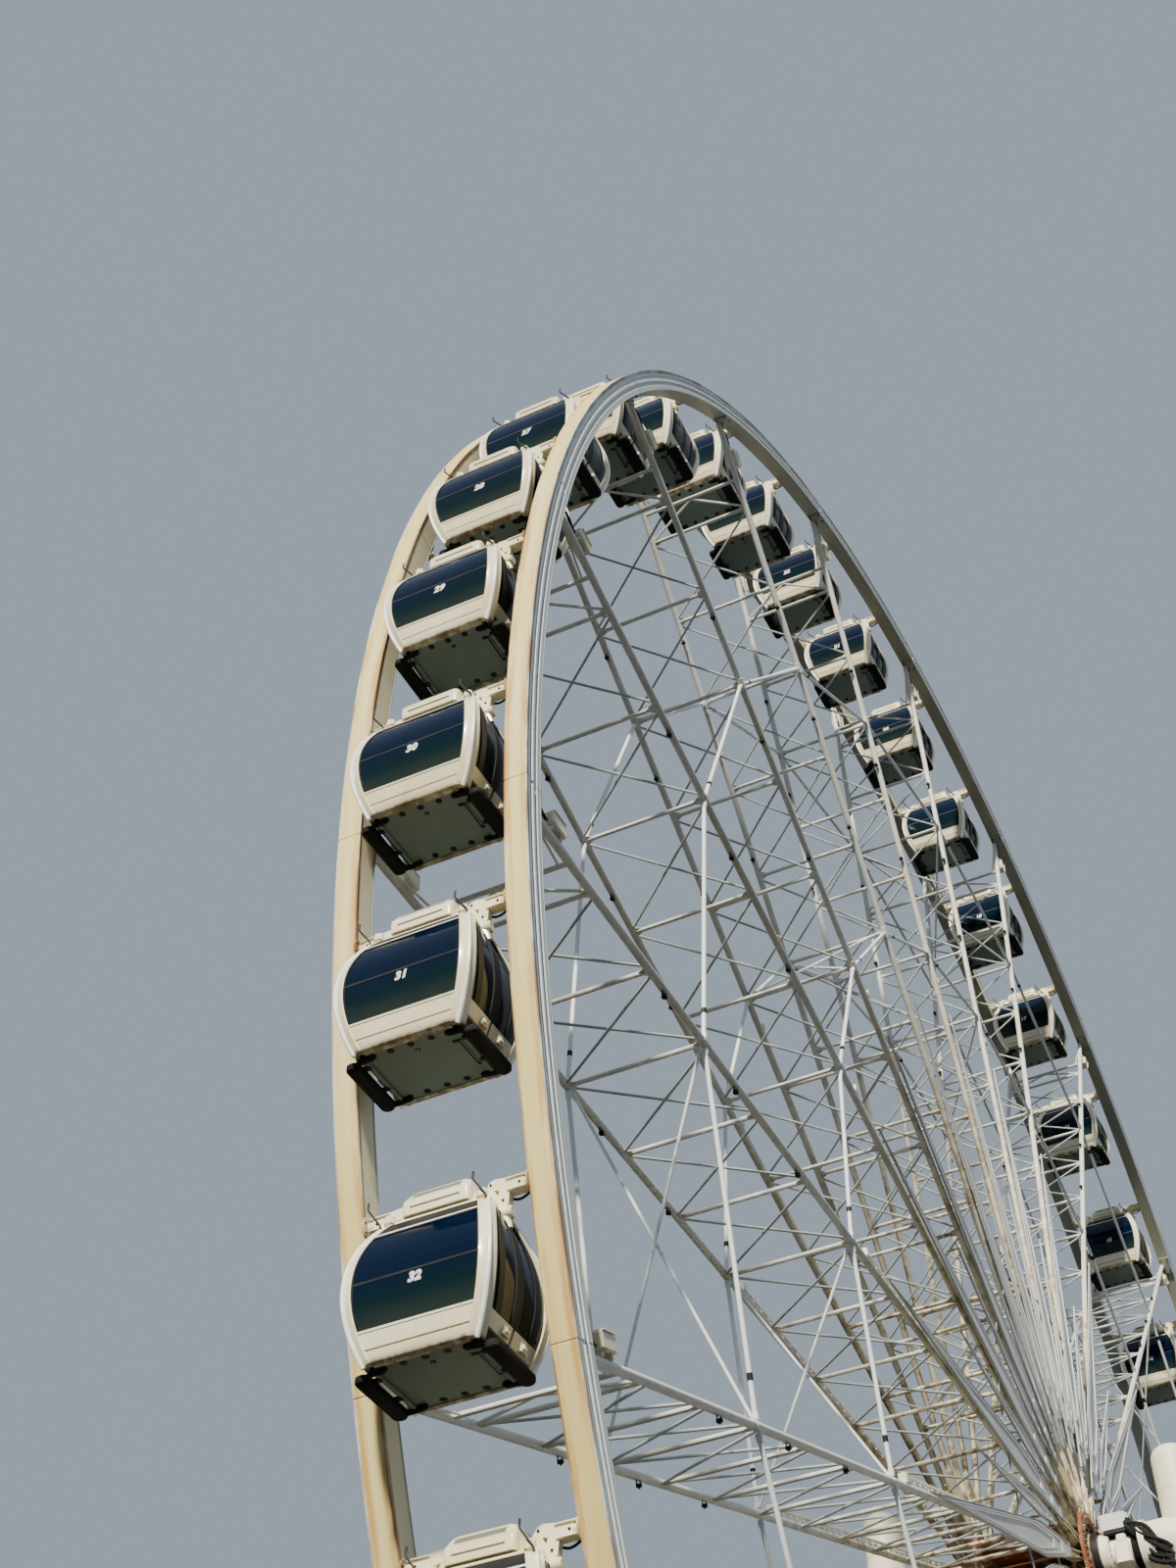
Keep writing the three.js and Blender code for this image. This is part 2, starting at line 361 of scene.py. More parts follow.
def rimPaintFinish(name, nearSidePaintedLight):
    # cream enamel with rust creeping in from both edges of the rolled plate; painted bluish sky light on the
    # outward side, painted shade on the inner face, and on the rear rim a painted grey sky-lit shade on the
    # near side
    # the last three tones are painted light and shade: shade on the inner face, bluish sky light on the
    # outward side, grey sky-lit shade on the rear rim's near side
    tone = {"cream": (0.74, 0.58, 0.20), "pale": (0.84, 0.73, 0.38), "grey": (0.50, 0.44, 0.29),
            "stain": (0.55, 0.30, 0.06), "rust": (0.17, 0.07, 0.02), "paintedShade": (0.30, 0.32, 0.30),
            "side": (0.58, 0.68, 0.76), "near": (0.68, 0.69, 0.66)}
    paint = Paint(name, Metallic=0.0)
    # the plate lies between radii 24.6 and 25.0, its sides 1.04 and 1.36 from the wheel's middle
    streak = paint.noise(1.0, 4, (1, 9, 1), 0.6, paint.around(18))
    patch = paint.noise(1.0, 3, (1, 2.4, 1), 0.55, paint.around(6))
    spans = paint.noise(1.0, 2, (1, 0.6, 1), 0.5, paint.around(2.3))
    fine = paint.noise(14, 2)
    across = abs(paint.y)
    radius = paint.radius()
    face = radius.above(24.9, 24.97)
    edge = abs(across - 1.2)
    creep = (edge - 0.07 * (1 - patch)).above(-0.01, 0.07)
    creep = creep * patch.above(0.36, 0.55) * spans.above(0.40, 0.55)
    stain = creep * streak.above(0.3, 0.6) * face
    line = edge.above(0.132, 0.152) * streak.above(0.38, 0.58) * spans.above(0.34, 0.52) * face
    # painted shade: the inner face, inside radius 24.66, is dulled to grey as if in shade
    inside = radius.above(24.66, 24.61) * (0.72 + patch.above(0.35, 0.6) * 0.2)
    colour = paint.blend(patch.above(0.25, 0.75), tone["cream"], tone["pale"])
    colour = paint.blend(streak.above(0.5, 0.9) * 0.35, colour, tone["grey"])
    # painted sky light: the outward side face and its channel are tinted bluish grey, as if lit by blue sky
    outward = across.above(1.335, 1.348)
    channel = across.above(1.29, 1.315) * radius.above(24.93, 24.91)
    colour = paint.blend((outward + (1 - outward) * channel) * 0.85, colour, tone["side"])
    # painted light: on the rear rim the near side face turns grey, as if in shade and lit only by the sky
    if nearSidePaintedLight:
        nearSideSkyShade = across.above(1.06, 1.035)
        colour = paint.blend(nearSideSkyShade * 0.75, colour, tone["near"])
    # painted shade laid on the inner face
    colour = paint.blend(inside, colour, tone["paintedShade"])
    colour = paint.blend(stain * 0.85, colour, tone["stain"])
    colour = paint.blend(line * 0.8, colour, tone["rust"])
    paint.set({"Base_Color": colour, "Roughness": 0.42 + stain * 0.3 + fine * 0.12})
    paint.bump(fine * 0.3 + stain * streak * 0.5, 0.35, 0.012)
    return paint.material


def trussPaintFinish(name):
    # white enamel that weathers to brown towards the hub, where the darkening is partly real dirt and partly
    # painted shade of the crowded frames
    tone = {"white": (0.76, 0.76, 0.72), "cream": (0.70, 0.66, 0.54), "grime": (0.19, 0.145, 0.095),
            "yellowed": (0.80, 0.69, 0.43), "rust": (0.20, 0.085, 0.03)}
    paint = Paint(name, Metallic=0.0)
    broad = paint.noise(0.35, 3)
    spots = paint.noise(3.2, 4, (1, 1, 1), 0.65)
    fine = paint.noise(22, 2)
    streak = paint.noise(1.0, 4, (1, 7, 1), 0.6, paint.around(45))
    radius = paint.radius()
    # painted shade and dirt: this mask darkens the frames towards the hub, where they crowd together and
    # shade each other
    inner = radius.above(14.5, 3.5)
    colour = paint.blend(broad.above(0.35, 0.7), tone["white"], tone["cream"])
    colour = paint.blend(inner * 0.8, colour, tone["yellowed"])
    # the grime weighted by that mask is part dirt, part painted shade
    dirt = spots.above(0.47, 0.68) * (0.14 + inner * 0.6) + streak.above(0.46, 0.6) * inner * 0.8
    colour = paint.blend(dirt, colour, tone["grime"])
    worn = inner * broad.above(0.50, 0.64) * spots.above(0.4, 0.6) * 0.7
    colour = paint.blend(worn, colour, tone["rust"])
    paint.set({"Base_Color": colour, "Roughness": 0.38 + dirt * 0.3 + worn * 0.2})
    paint.bump(fine * 0.2 + spots * 0.3, 0.25, 0.008)
    return paint.material


def enamelFinish(name, clean, shade, dirtShare=0.3, rough=0.4, wear=(0.30, 0.20, 0.12), grain=9):
    # plain painted steel with broad fading, small dirt and light orange peel
    paint = Paint(name, Metallic=0.0)
    broad = paint.noise(0.8, 3)
    spots = paint.noise(grain, 4, (1, 1, 0.45), 0.65)
    colour = paint.blend(broad.above(0.3, 0.72), clean, shade)
    dirt = spots.above(0.52, 0.75) * dirtShare
    colour = paint.blend(dirt, colour, wear)
    paint.set({"Base_Color": colour, "Roughness": rough + dirt * 0.5 + broad * 0.08})
    paint.bump(spots, 0.2, 0.006)
    return paint.material


def hubRustFinish(name):
    # old paint that has given way to rust and dark pits
    tone = {"paint": (0.50, 0.42, 0.30), "rust": (0.24, 0.085, 0.028), "dark": (0.055, 0.03, 0.02)}
    paint = Paint(name, Metallic=0.1)
    patch = paint.noise(1.6, 5, (1, 1, 1), 0.7)
    pits = paint.noise(13, 4, (1, 1, 1), 0.7)
    colour = paint.blend(patch.above(0.36, 0.52), tone["paint"], tone["rust"])
    colour = paint.blend(pits.above(0.5, 0.72) * 0.8, colour, tone["dark"])
    paint.set({"Base_Color": colour, "Roughness": 0.55 + pits * 0.35})
    paint.bump(pits + patch * 0.5, 0.6, 0.02)
    return paint.material


def cabinPaintFinish(name):
    # cream gel coat, with grime on the sill and runs below the seams
    tone = {"cream": (0.88, 0.82, 0.60), "warm": (0.80, 0.71, 0.46), "grime": (0.20, 0.12, 0.05)}
    paint = Paint(name, Metallic=0.0, Coat_Roughness=0.12)
    place = paint.perCabin()
    broad = paint.noise(1.3, 3, (1, 1, 1), 0.5, place)
    runs = paint.noise(6.5, 3, (1, 1, 0.16), 0.6, place)
    specks = paint.noise(26, 3, (1, 1, 0.6), 0.6, place)
    colour = paint.blend(broad.above(0.32, 0.7), tone["cream"], tone["warm"])
    sill = paint.z.above(-2.03, -2.085)
    dirt = sill * (0.25 + runs.above(0.35, 0.6) * 0.6) + runs.above(0.58, 0.8) * 0.2
    dirt = dirt + specks.above(0.6, 0.78) * (0.1 + sill * 0.4)
    colour = paint.blend(dirt, colour, tone["grime"])
    paint.set({"Base_Color": colour, "Roughness": 0.30 + dirt * 0.4, "Coat_Weight": 0.35 - dirt * 0.3})
    paint.bump(specks * 0.3 + runs * 0.2, 0.15, 0.004)
    return paint.material


def tintedGlassFinish(name):
    # dark body tint: bluish above the split line, green below it, with a pale film near the sill
    tone = {"upper": (0.001, 0.006, 0.022), "lower": (0.002, 0.012, 0.016), "film": (0.020, 0.030, 0.026)}
    paint = Paint(name, Metallic=0.0, IOR=1.26, Coat_Roughness=0.03)
    smear = paint.noise(2.6, 4, (1, 1, 0.5), 0.6, paint.perCabin())
    low = paint.z.above(-1.10, -1.50)
    colour = paint.blend(low, tone["upper"], tone["lower"])
    film = paint.z.above(-1.42, -1.72) * (0.35 + smear * 0.9)
    colour = paint.blend(film, colour, tone["film"])
    paint.set({"Base_Color": colour, "Roughness": 0.05 + smear * 0.07, "Coat_Weight": smear * 0.06,
               "Alpha": 0.93 + low * 0.04 - smear.above(0.45, 0.6) * 0.04})
    paint.material.surface_render_method = "DITHERED"
    return paint.material


def darkFinish(name, colour, dusty, rough):
    # black steel, rubber and plastic: faded on top, with dust in the grain
    paint = Paint(name, Metallic=0.0, Specular_IOR_Level=0.22)
    cloud = paint.noise(2.2, 3)
    specks = paint.noise(18, 3, (1, 1, 1), 0.65)
    shade = paint.blend(cloud.above(0.35, 0.7) * 0.5 + specks.above(0.55, 0.8) * 0.35, colour, dusty)
    paint.set({"Base_Color": shade, "Roughness": rough + cloud * 0.2})
    paint.bump(specks, 0.25, 0.004)
    return paint.material


def lampFinish(name, colour, strength):
    # frosted tube with small differences in brightness along it
    paint = Paint(name, Metallic=0.0, Roughness=0.35, Emission_Strength=strength)
    cells = paint.noise(9, 2)
    glow = paint.blend(cells.above(0.3, 0.7), colour, tuple(0.82 * c for c in colour))
    paint.set({"Base_Color": glow, "Emission_Color": glow})
    return paint.material


finishes = {
    "frontRim": rimPaintFinish("frontRimEnamel", False),
    "rearRim": rimPaintFinish("rearRimEnamel", True),
    "truss": trussPaintFinish("trussEnamelAndHubShade"),
    "hub": hubRustFinish("rustedHubSteel"),
    "tower": enamelFinish("towerEnamel", (0.90, 0.86, 0.70), (0.84, 0.77, 0.55), 0.16),
    "tie": enamelFinish("tieEnamel", (0.82, 0.85, 0.86), (0.74, 0.76, 0.75), 0.12),
    "brace": enamelFinish("braceGrey", (0.50, 0.54, 0.52), (0.38, 0.41, 0.38), 0.3, 0.5, (0.18, 0.13, 0.08)),
    "cabin": cabinPaintFinish("cabinGelCoat"),
    "glass": tintedGlassFinish("tintedCabinGlass"),
    "channel": enamelFinish("channelGrey", (0.30, 0.31, 0.31), (0.22, 0.23, 0.23), 0.4, 0.5,
                            (0.10, 0.09, 0.08)),
    "plate": enamelFinish("starPlateGrey", (0.62, 0.64, 0.65), (0.52, 0.53, 0.53), 0.25, 0.45,
                          (0.28, 0.26, 0.22)),
    "underside": enamelFinish("undersideGrey", (0.22, 0.29, 0.26), (0.17, 0.23, 0.21), 0.35, 0.6,
                              (0.28, 0.28, 0.23)),
    "steel": darkFinish("blackSteel", (0.006, 0.007, 0.008), (0.03, 0.03, 0.028), 0.4),
    "rubber": darkFinish("blackRubber", (0.007, 0.008, 0.009), (0.028, 0.027, 0.025), 0.7),
    "seat": darkFinish("seatPlastic", (0.03, 0.032, 0.036), (0.07, 0.07, 0.07), 0.5),
    "grille": enamelFinish("grilleGrey", (0.26, 0.25, 0.22), (0.19, 0.18, 0.16), 0.4, 0.55,
                           (0.09, 0.08, 0.07)),
    "digit": enamelFinish("digitWhite", (0.80, 0.80, 0.78), (0.72, 0.72, 0.70), 0.1, 0.4),
    "tube": lampFinish("whiteLightTube", (0.88, 0.88, 0.84), 0.12),
    "strip": lampFinish("whiteLightStrip", (0.72, 0.74, 0.76), 0.04),
    "floor": enamelFinish("studioFloor", (0.62, 0.62, 0.61), (0.60, 0.60, 0.59), 0.03, 0.7,
                          (0.5, 0.5, 0.5), 3),
}
print("finishes made:", len(finishes))


# Rims

rimSize = {
    "inner": 24.6, "outer": 25.0, "near": 1.04, "far": 1.36, "lip": 0.016, "lipStep": 0.004,
    "sideSink": 0.006, "channelLow": 24.70, "channelHigh": 24.90, "channelDepth": 0.035, "arcs": 16,
    "joint": 0.014, "pinch": 0.035, "plateRadius": 0.15, "plateDepth": 0.022, "plateBolts": 6,
    "plateBoltRing": 0.115, "gussetDepth": 0.035, "gussetAcross": 0.15, "gussetAlong": 0.24,
    "gussetBolts": [(y, z) for z in (-0.19, -0.14, 0.14, 0.19) for y in (-0.1, 0.1)], "lightRadius": 24.8,
    "lightHalf": (0.026, 0.014), "lightSink": 0.018, "lightSteps": 24, "lightGap": 0.004,
}


def ringAngles():
    # even steps, with four close ones round the joint at each spoke; the second value pinches the section
    angles = []
    joint = rimSize["joint"] / rimSize["outer"]
    for bay in range(spokeCount):
        start = spokeAngle(bay)
        angles += [(start - joint, 0), (start - joint * 0.6, 1), (start + joint * 0.6, 1), (start + joint, 0)]
        angles += [(start + bayAngle * i / rimSize["arcs"], 0) for i in range(1, rimSize["arcs"])]
    return angles


def wheelRing(section, angle, side):
    # a section of (radius, distance from the wheel's middle) pairs, set at a wheel angle
    c, s = math.cos(angle), math.sin(angle)
    return [(r * c, side * y, r * s) for r, y in section]


def rimProfile():
    s = rimSize
    low, high, near, far = s["inner"], s["outer"], s["near"], s["far"]
    step, sink, channelFloor = s["lipStep"], s["sideSink"], far - s["channelDepth"]
    lipLow, lipHigh = low + s["lip"], high - s["lip"]
    channelLow, channelHigh = s["channelLow"], s["channelHigh"]
    return [
        (high, near - step), (high, far + step), (lipHigh, far + step), (lipHigh - step, far - sink),
        (channelHigh + sink, far - sink), (channelHigh, far - 2 * sink), (channelHigh, channelFloor),
        (channelLow, channelFloor), (channelLow, far - 2 * sink), (channelLow - sink, far - sink),
        (lipLow + step, far - sink), (lipLow, far), (low, far), (low, near),
        (lipLow, near), (lipLow + step, near + sink), (lipHigh - step, near + sink), (lipHigh, near - step),
    ]


def makeRim(side, sideName):
    s = rimSize
    low, near = s["inner"], s["near"]
    middle = ((low + s["outer"]) / 2, (near + s["far"]) / 2)
    shape = Shape()
    rings = []
    for angle, pinched in ringAngles():
        share = 1 - s["pinch"] * pinched
        section = [(mix(middle[0], r, share), mix(middle[1], y, share)) for r, y in rimProfile()]
        rings.append(wheelRing(section, angle, side))
    shape.loft(rings, loop=True)
    # bearing plates that carry the cabins
    bolts, boltRing = s["plateBolts"], s["plateBoltRing"]
    for number in range(1, cabinCount + 1):
        shape.place = wheelTurn(cabinAngle(number)) @ shifted(pivotRadius, side * near, 0)
        shape.disc((0, 0, 0), s["plateRadius"], -side * s["plateDepth"], "y", 24, 0.006)
        boltCircle(shape, bolts, boltRing, -side * 0.018, 0.016, -side * 0.014, 1, 0.5, 0.003)
    # gussets and bolts where the spoke chords meet the rim
    y, depth, across, along = side * middle[1], s["gussetDepth"], s["gussetAcross"], s["gussetAlong"]
    for bay in range(spokeCount):
        shape.place = wheelTurn(spokeAngle(bay))
        shape.block((low - depth, y - across, -along), (low, y + across, along), 0.006)
        for boltAcross, boltAlong in s["gussetBolts"]:
            shape.disc((low - depth, y + boltAcross, boltAlong), 0.018, -0.016, "x", 6, 0.003, 1)
    name = sideName + "Rim"
    finishedPiece(name, shape, [name, "steel"], "wheel", [f"{sideName}_rim"])
    # light strip in the channel, one length for each bay
    light = Shape()
    outline = chamfered(*s["lightHalf"], 0.007)
    section = [(s["lightRadius"] + a, s["far"] - s["lightSink"] + b) for a, b in outline]
    steps, gap = s["lightSteps"], s["lightGap"]
    shares = [mix(gap, 1 - gap, i / steps) for i in range(steps + 1)]
    for bay in range(spokeCount):
        light.loft([wheelRing(section, spokeAngle(bay) + bayAngle * share, side) for share in shares])
    finishedPiece(name + "Light", light, ["strip"], "wheel")


makeRim(-1, "front")
makeRim(1, "rear")
print("rims made")


# Spoke frames

spokeSize = {
    "chord": 0.063, "rung": 0.038, "brace": 0.022, "tie": 0.036, "cross": 0.026, "vee": 0.026,
    "outerBrace": 0.018, "start": 0.96, "end": 24.57, "outerRung": 23.25, "splices": [13.1, 18.93],
    "rungs": [3.6, 5.5, 7.4, 9.3, 11.2, 13.1, 15.03, 16.97, 18.93, 20.77, 22.6],
    "forkPlate": [(0.90, 0.08), (1.1, 0.12), (1.9, 0.10), (2.35, 0.05)], "forkGap": 0.06,
    "forkThick": 0.028, "pin": 1.06, "sleeve": 0.12, "sleeveStep": 0.008, "braceInset": 0.10,
    "braceApart": 0.024, "gusset": [(-0.09, 0.05), (-0.035, 0.17), (0.035, 0.17), (0.09, 0.05)],
    "gussetThick": 0.01, "tieInset": 0.1, "tieClip": (0.028, 0.045, 0.06), "clampEnds": (0.71, 0.61),
    "clampRadius": 0.041, "crossApart": 0.05, "perGroup": 3,
}


def ladderShape():
    s = spokeSize
    shape, fittings = Shape(), Shape()
    off, chord, reach, thick = chordOffset, s["chord"], s["sleeve"], s["forkThick"]
    forkEdge = [(x, -w) for x, w in s["forkPlate"]] + [(x, w) for x, w in reversed(s["forkPlate"])]
    for side in (-1, 1):
        y = side * off
        shape.tube([(s["start"], y, 0), (s["end"], y, 0)], chord, 14)
        # forked end plates with their pin at the hub flange
        for z in (-s["forkGap"], s["forkGap"]):
            shape.prism([(x, y + w, z - thick / 2) for x, w in forkEdge], (0, 0, thick))
        fittings.disc((s["pin"], side * (off + 0.07), -0.085), 0.03, 0.17, "z", 8, 0.008)
        # slim sleeves where the lengths of a chord are joined
        for radius in s["splices"]:
            wide = chord + s["sleeveStep"]
            path = [(radius + x, y, 0) for x in (-reach, 0.01 - reach, reach - 0.01, reach)]
            shape.tube(path, [chord, wide, wide, chord], 14)
    thick = s["gussetThick"]
    for radius in s["rungs"]:
        shape.tube([(radius, -off, 0), (radius, off, 0)], s["rung"], 10)
        for side in (-1, 1):
            shape.prism([(radius + x, side * (off - w), -thick / 2) for x, w in s["gusset"]], (0, 0, thick))
    # a pair of braces in each bay, which pass each other at the middle
    for low, high in zip(s["rungs"], s["rungs"][1:]):
        for side in (-1, 1):
            y, z = side * (off - 0.04), side * s["braceApart"]
            shape.tube([(low + s["braceInset"], y, z), (high - s["braceInset"], -y, z)], s["brace"], 8, 2)
    # outermost rung, with an inverted V down to the next rung's ends and a small brace to each chord's end
    top = s["outerRung"]
    shape.tube([(top, -off, 0), (top, off, 0)], s["rung"], 10)
    for side in (-1, 1):
        shape.tube([(s["rungs"][-1] + 0.06, side * (off - 0.05), 0), (top - 0.03, 0, 0)], s["vee"], 8)
        ends = [(top + 0.05, side * (off - 0.15), 0), (s["end"] - 0.12, side * (off - 0.02), 0)]
        shape.tube(ends, s["outerBrace"], 6)
    return shape, fittings


def tieShapes():
    # ties between neighbouring frames, their clamps, and the crossed ties of every third bay
    s = spokeSize
    ties, clamps, crossed = Shape(), Shape(), Shape()
    for radius in s["splices"]:
        reach = radius * math.sin(bayAngle / 2)
        middle = radius * math.cos(bayAngle / 2)
        end, clip = reach - s["tieInset"], reach - s["tieInset"] - 0.04
        for side in (-1, 1):
            y = side * chordOffset
            ties.tube([(middle, y, -end), (middle, y, end)], s["tie"], 10)
            for z in (-clip, clip):
                ties.block(*about((middle, y, z), s["tieClip"]), 0.01)
            clamps.tube([(middle, y, reach - z) for z in s["clampEnds"]], s["clampRadius"], 12)
            x, y = middle - side * s["crossApart"], side * (chordOffset - 0.05)
            crossed.tube([(x, y, -end), (x, -y, end)], s["cross"], 8)
    return ties, clamps, crossed


# what hangs on each chord; distances are from the axle and across from the chord's middle
chordFittings = {
    "box": [((23.55, -0.12, -0.33), (23.95, 0.12, -0.115), 0.02),
            ((23.58, -0.135, -0.345), (23.92, 0.135, -0.325), 0.008),
            ((23.60, -0.075, -0.12), (23.64, 0.075, -0.045), 0.005),
            ((23.86, -0.075, -0.12), (23.90, 0.075, -0.045), 0.005)],
    "loop": [(23.95, 0, -0.2), (24.05, 0, -0.22), (24.16, 0, -0.30), (24.28, 0, -0.30), (24.36, 0, -0.2),
             (24.4, 0, -0.13), (24.56, 0.04, -0.12)],
    "lamps": (20.3, 17.8, 15.4),
    "lampYoke": [(-0.07, 0.04), (-0.07, 0.12), (0, 0.165), (0.07, 0.12), (0.07, 0.04)],
    "rail": (2.5, 12.45), "railLevel": -0.17, "railRadius": 0.028, "brackets": 9, "bulbLevel": -0.105,
    "bulbStep": 0.32, "bulbRadius": 0.026,
}


def chordFittingShapes():
    # boxes, cable loops, small lamps, and a light rail with its brackets and a row of bulbs
    s = chordFittings
    boxes, black, light = Shape(), Shape(), Shape()
    start, end = s["rail"]
    level, bulbLevel = s["railLevel"], s["bulbLevel"]
    for side in (-1, 1):
        boxes.place = black.place = light.place = shifted(0, side * chordOffset, 0)
        for low, high, bevel in s["box"]:
            boxes.block(low, high, bevel)
        loop = [(x, side * y, z) for x, y, z in s["loop"]]
        black.tube(loop, 0.016, 6)
        black.tube([(x, y + side * 0.035, z * 0.8) for x, y, z in loop], 0.012, 6)
        for radius in s["lamps"]:
            black.disc((radius, 0, 0.10), 0.045, 0.05, "z", 12, 0.01)
            black.tube([(radius + x, 0, z) for x, z in s["lampYoke"]], 0.010, 6)
        boxes.tube([(start, 0, level), (end, 0, level)], s["railRadius"], 8)
        for radius in np.linspace(start, end, s["brackets"]):
            boxes.block((radius - 0.03, -0.02, -0.18), (radius + 0.03, 0.02, -0.04), 0.006)
        boxes.block((end - 0.07, -0.07, -0.21), (end + 0.07, 0.07, -0.05), 0.012)
        ends = [(start + 0.1, 0, bulbLevel), (end - 0.1, 0, bulbLevel)]
        light.strip(ends, 0.022, 0.022, 0.006, 0, (0, 1, 0))
        for radius in np.arange(start + 0.2, end - 0.1, s["bulbStep"]):
            light.disc((radius, -0.032, bulbLevel), s["bulbRadius"], 0.064, "y", 8, 0.006)
    return boxes, black, light


def makeSpokeFrames():
    ladder, pins = ladderShape()
    ties, clamps, crossed = tieShapes()
    boxes, black, light = chordFittingShapes()
    allBlack, allBoxes, allLights = Shape(), Shape(), Shape()
    perGroup = spokeSize["perGroup"]
    for group in range(spokeCount // perGroup):
        shape = Shape()
        for i in range(perGroup):
            turn = wheelTurn(spokeAngle(group * perGroup + i))
            toBay = wheelTurn(spokeAngle(group * perGroup + i) + bayAngle / 2)
            shape.take(ladder, turn)
            shape.take(ties, toBay, 1)
            if i == 0:
                shape.take(crossed, toBay, 1)
            allBlack.take(pins, turn)
            allBlack.take(clamps, toBay)
            allBlack.take(black, turn)
            allBoxes.take(boxes, turn)
            allLights.take(light, turn)
        name, node = f"spokeFrames_{group + 1}", f"spoke_frames_{group + 1}"
        finishedPiece(name, shape, ["truss", "tie", "brace"], "wheel", [node])
    finishedPiece("spokeFittings", allBlack, ["steel"], "wheel")
    finishedPiece("junctionBoxes", allBoxes, ["tower"], "wheel")
    finishedPiece("spokeLights", allLights, ["strip"], "wheel")


makeSpokeFrames()
print("spoke frames made")


# Hub, star plates and axle

hubSize = {
    "bore": 0.33, "drum": 0.55, "flange": 0.95, "inside": 0.93, "outside": 1.25, "fillet": 0.05,
    "edge": 0.02, "groove": [(0.95, 1.0), (0.86, 1.03), (0.86, 1.15), (0.95, 1.18)], "segments": 126,
    "recess": 0.04, "facing": [(0.70, 0), (0.67, 0.04), (0.52, 0.04), (0.50, 0)], "bolts": 42,
    "boltRing": 0.83, "innerBolts": 12, "innerBoltRing": 0.59, "ribReach": 0.9, "ribTop": 0.84,
}

# outlines are (radius, half width) pairs
starSize = {
    "long": [(11.6, 0.0), (8.5, 0.14), (4.3, 0.33), (2.55, 0.17), (2.2, 0.13)], "longBorder": 0.05,
    "short": [(7.8, 0.0), (5.6, 0.11), (4.1, 0.19), (3.0, 0.08), (2.85, 0.0)], "shortBorder": 0.06,
    "level": -1.205, "thick": 0.02, "raised": 0.016, "outlines": (0.0, 0.16, 0.34),
    "brackets": (2.6, 4.3, 7.5, 10.0), "crossBars": ((3.3, 0.55), (5.5, 0.85)),
}

# profiles are (radius, distance from the wheel's middle) pairs
axleSize = {
    "half": 2.19, "radius": 0.32,
    "seal": [(0.31, 1.28), (0.50, 1.28), (0.52, 1.30), (0.52, 1.40), (0.31, 1.40)],
    "bearing": [(0.31, 1.40), (0.42, 1.40), (0.44, 1.42), (0.44, 1.58), (0.41, 1.61), (0.31, 1.61)],
    "bolts": 16, "boltRing": 0.37, "saddle": 1.86,
}


def makeHub():
    h = hubSize
    drum, flange, inside, outside, edge = (h[key] for key in ("drum", "flange", "inside", "outside", "edge"))
    profile = [(drum, h["fillet"] - inside), (drum, inside - h["fillet"]), (drum + h["fillet"], inside),
               (flange - edge, inside), (flange, inside + edge), *h["groove"], (flange, outside - edge),
               (flange - edge, outside), *((r, outside - depth) for r, depth in h["facing"]),
               (h["bore"], outside)]
    shape = Shape()
    shape.turned(profile + [(r, -y) for r, y in reversed(profile)], h["segments"])
    for side in (-1, 1):
        boltCircle(shape, h["bolts"], h["boltRing"], side * outside, 0.028, side * 0.03, 0, 0.5, 0.005)
        level = side * (outside - h["recess"])
        boltCircle(shape, h["innerBolts"], h["innerBoltRing"], level, 0.025, side * 0.03)
    for bay in range(spokeCount):
        shape.place = wheelTurn(spokeAngle(bay) + bayAngle / 2)
        shape.block((drum - 0.02, -h["ribReach"], -0.015), (h["ribTop"], h["ribReach"], 0.015), 0.004)
    finishedPiece("hubDrum", shape, ["hub", "steel"], "wheel", ["hub"])


def kite(shape, outline, border):
    # flat star plate with raised outlines, each drawn in from the edge by a share
    level, thick = starSize["level"], starSize["thick"]
    middle = sum(r for r, _ in outline) / len(outline)
    lift = Vector((0, -starSize["raised"], 0))

    def outlineAt(share, y):
        points = [(mix(r, middle, share), w * (1 - share)) for r, w in outline]
        return [(r, y, w) for r, w in points] + [(r, y, -w) for r, w in reversed(points) if w > 0]

    shape.prism(outlineAt(0, level), (0, -thick, 0))
    for share in starSize["outlines"]:
        outer = [Vector(p) for p in outlineAt(share, level - thick)]
        inner = [Vector(p) for p in outlineAt(share + border, level - thick)]
        shape.loft([[p, p + lift, q + lift, q] for p, q in zip(outer, inner)], 1 if share else 2, loop=True)


def makeStarPlates():
    s = starSize
    shape = Shape()
    for bay in range(spokeCount):
        shape.place = wheelTurn(spokeAngle(bay))
        kite(shape, s["long"], s["longBorder"])
        for radius in s["brackets"]:
            shape.block((radius - 0.03, -1.2, -0.05), (radius + 0.03, -1.17, 0.05), 0.004, 2)
        shape.place = wheelTurn(spokeAngle(bay) + bayAngle / 2)
        kite(shape, s["short"], s["shortBorder"])
        for radius, reach in s["crossBars"]:
            shape.block((radius - 0.02, -1.2, -reach), (radius + 0.02, -1.17, reach), 0.004, 2)
    finishedPiece("starPlates", shape, ["plate", "strip", "channel"], "wheel")


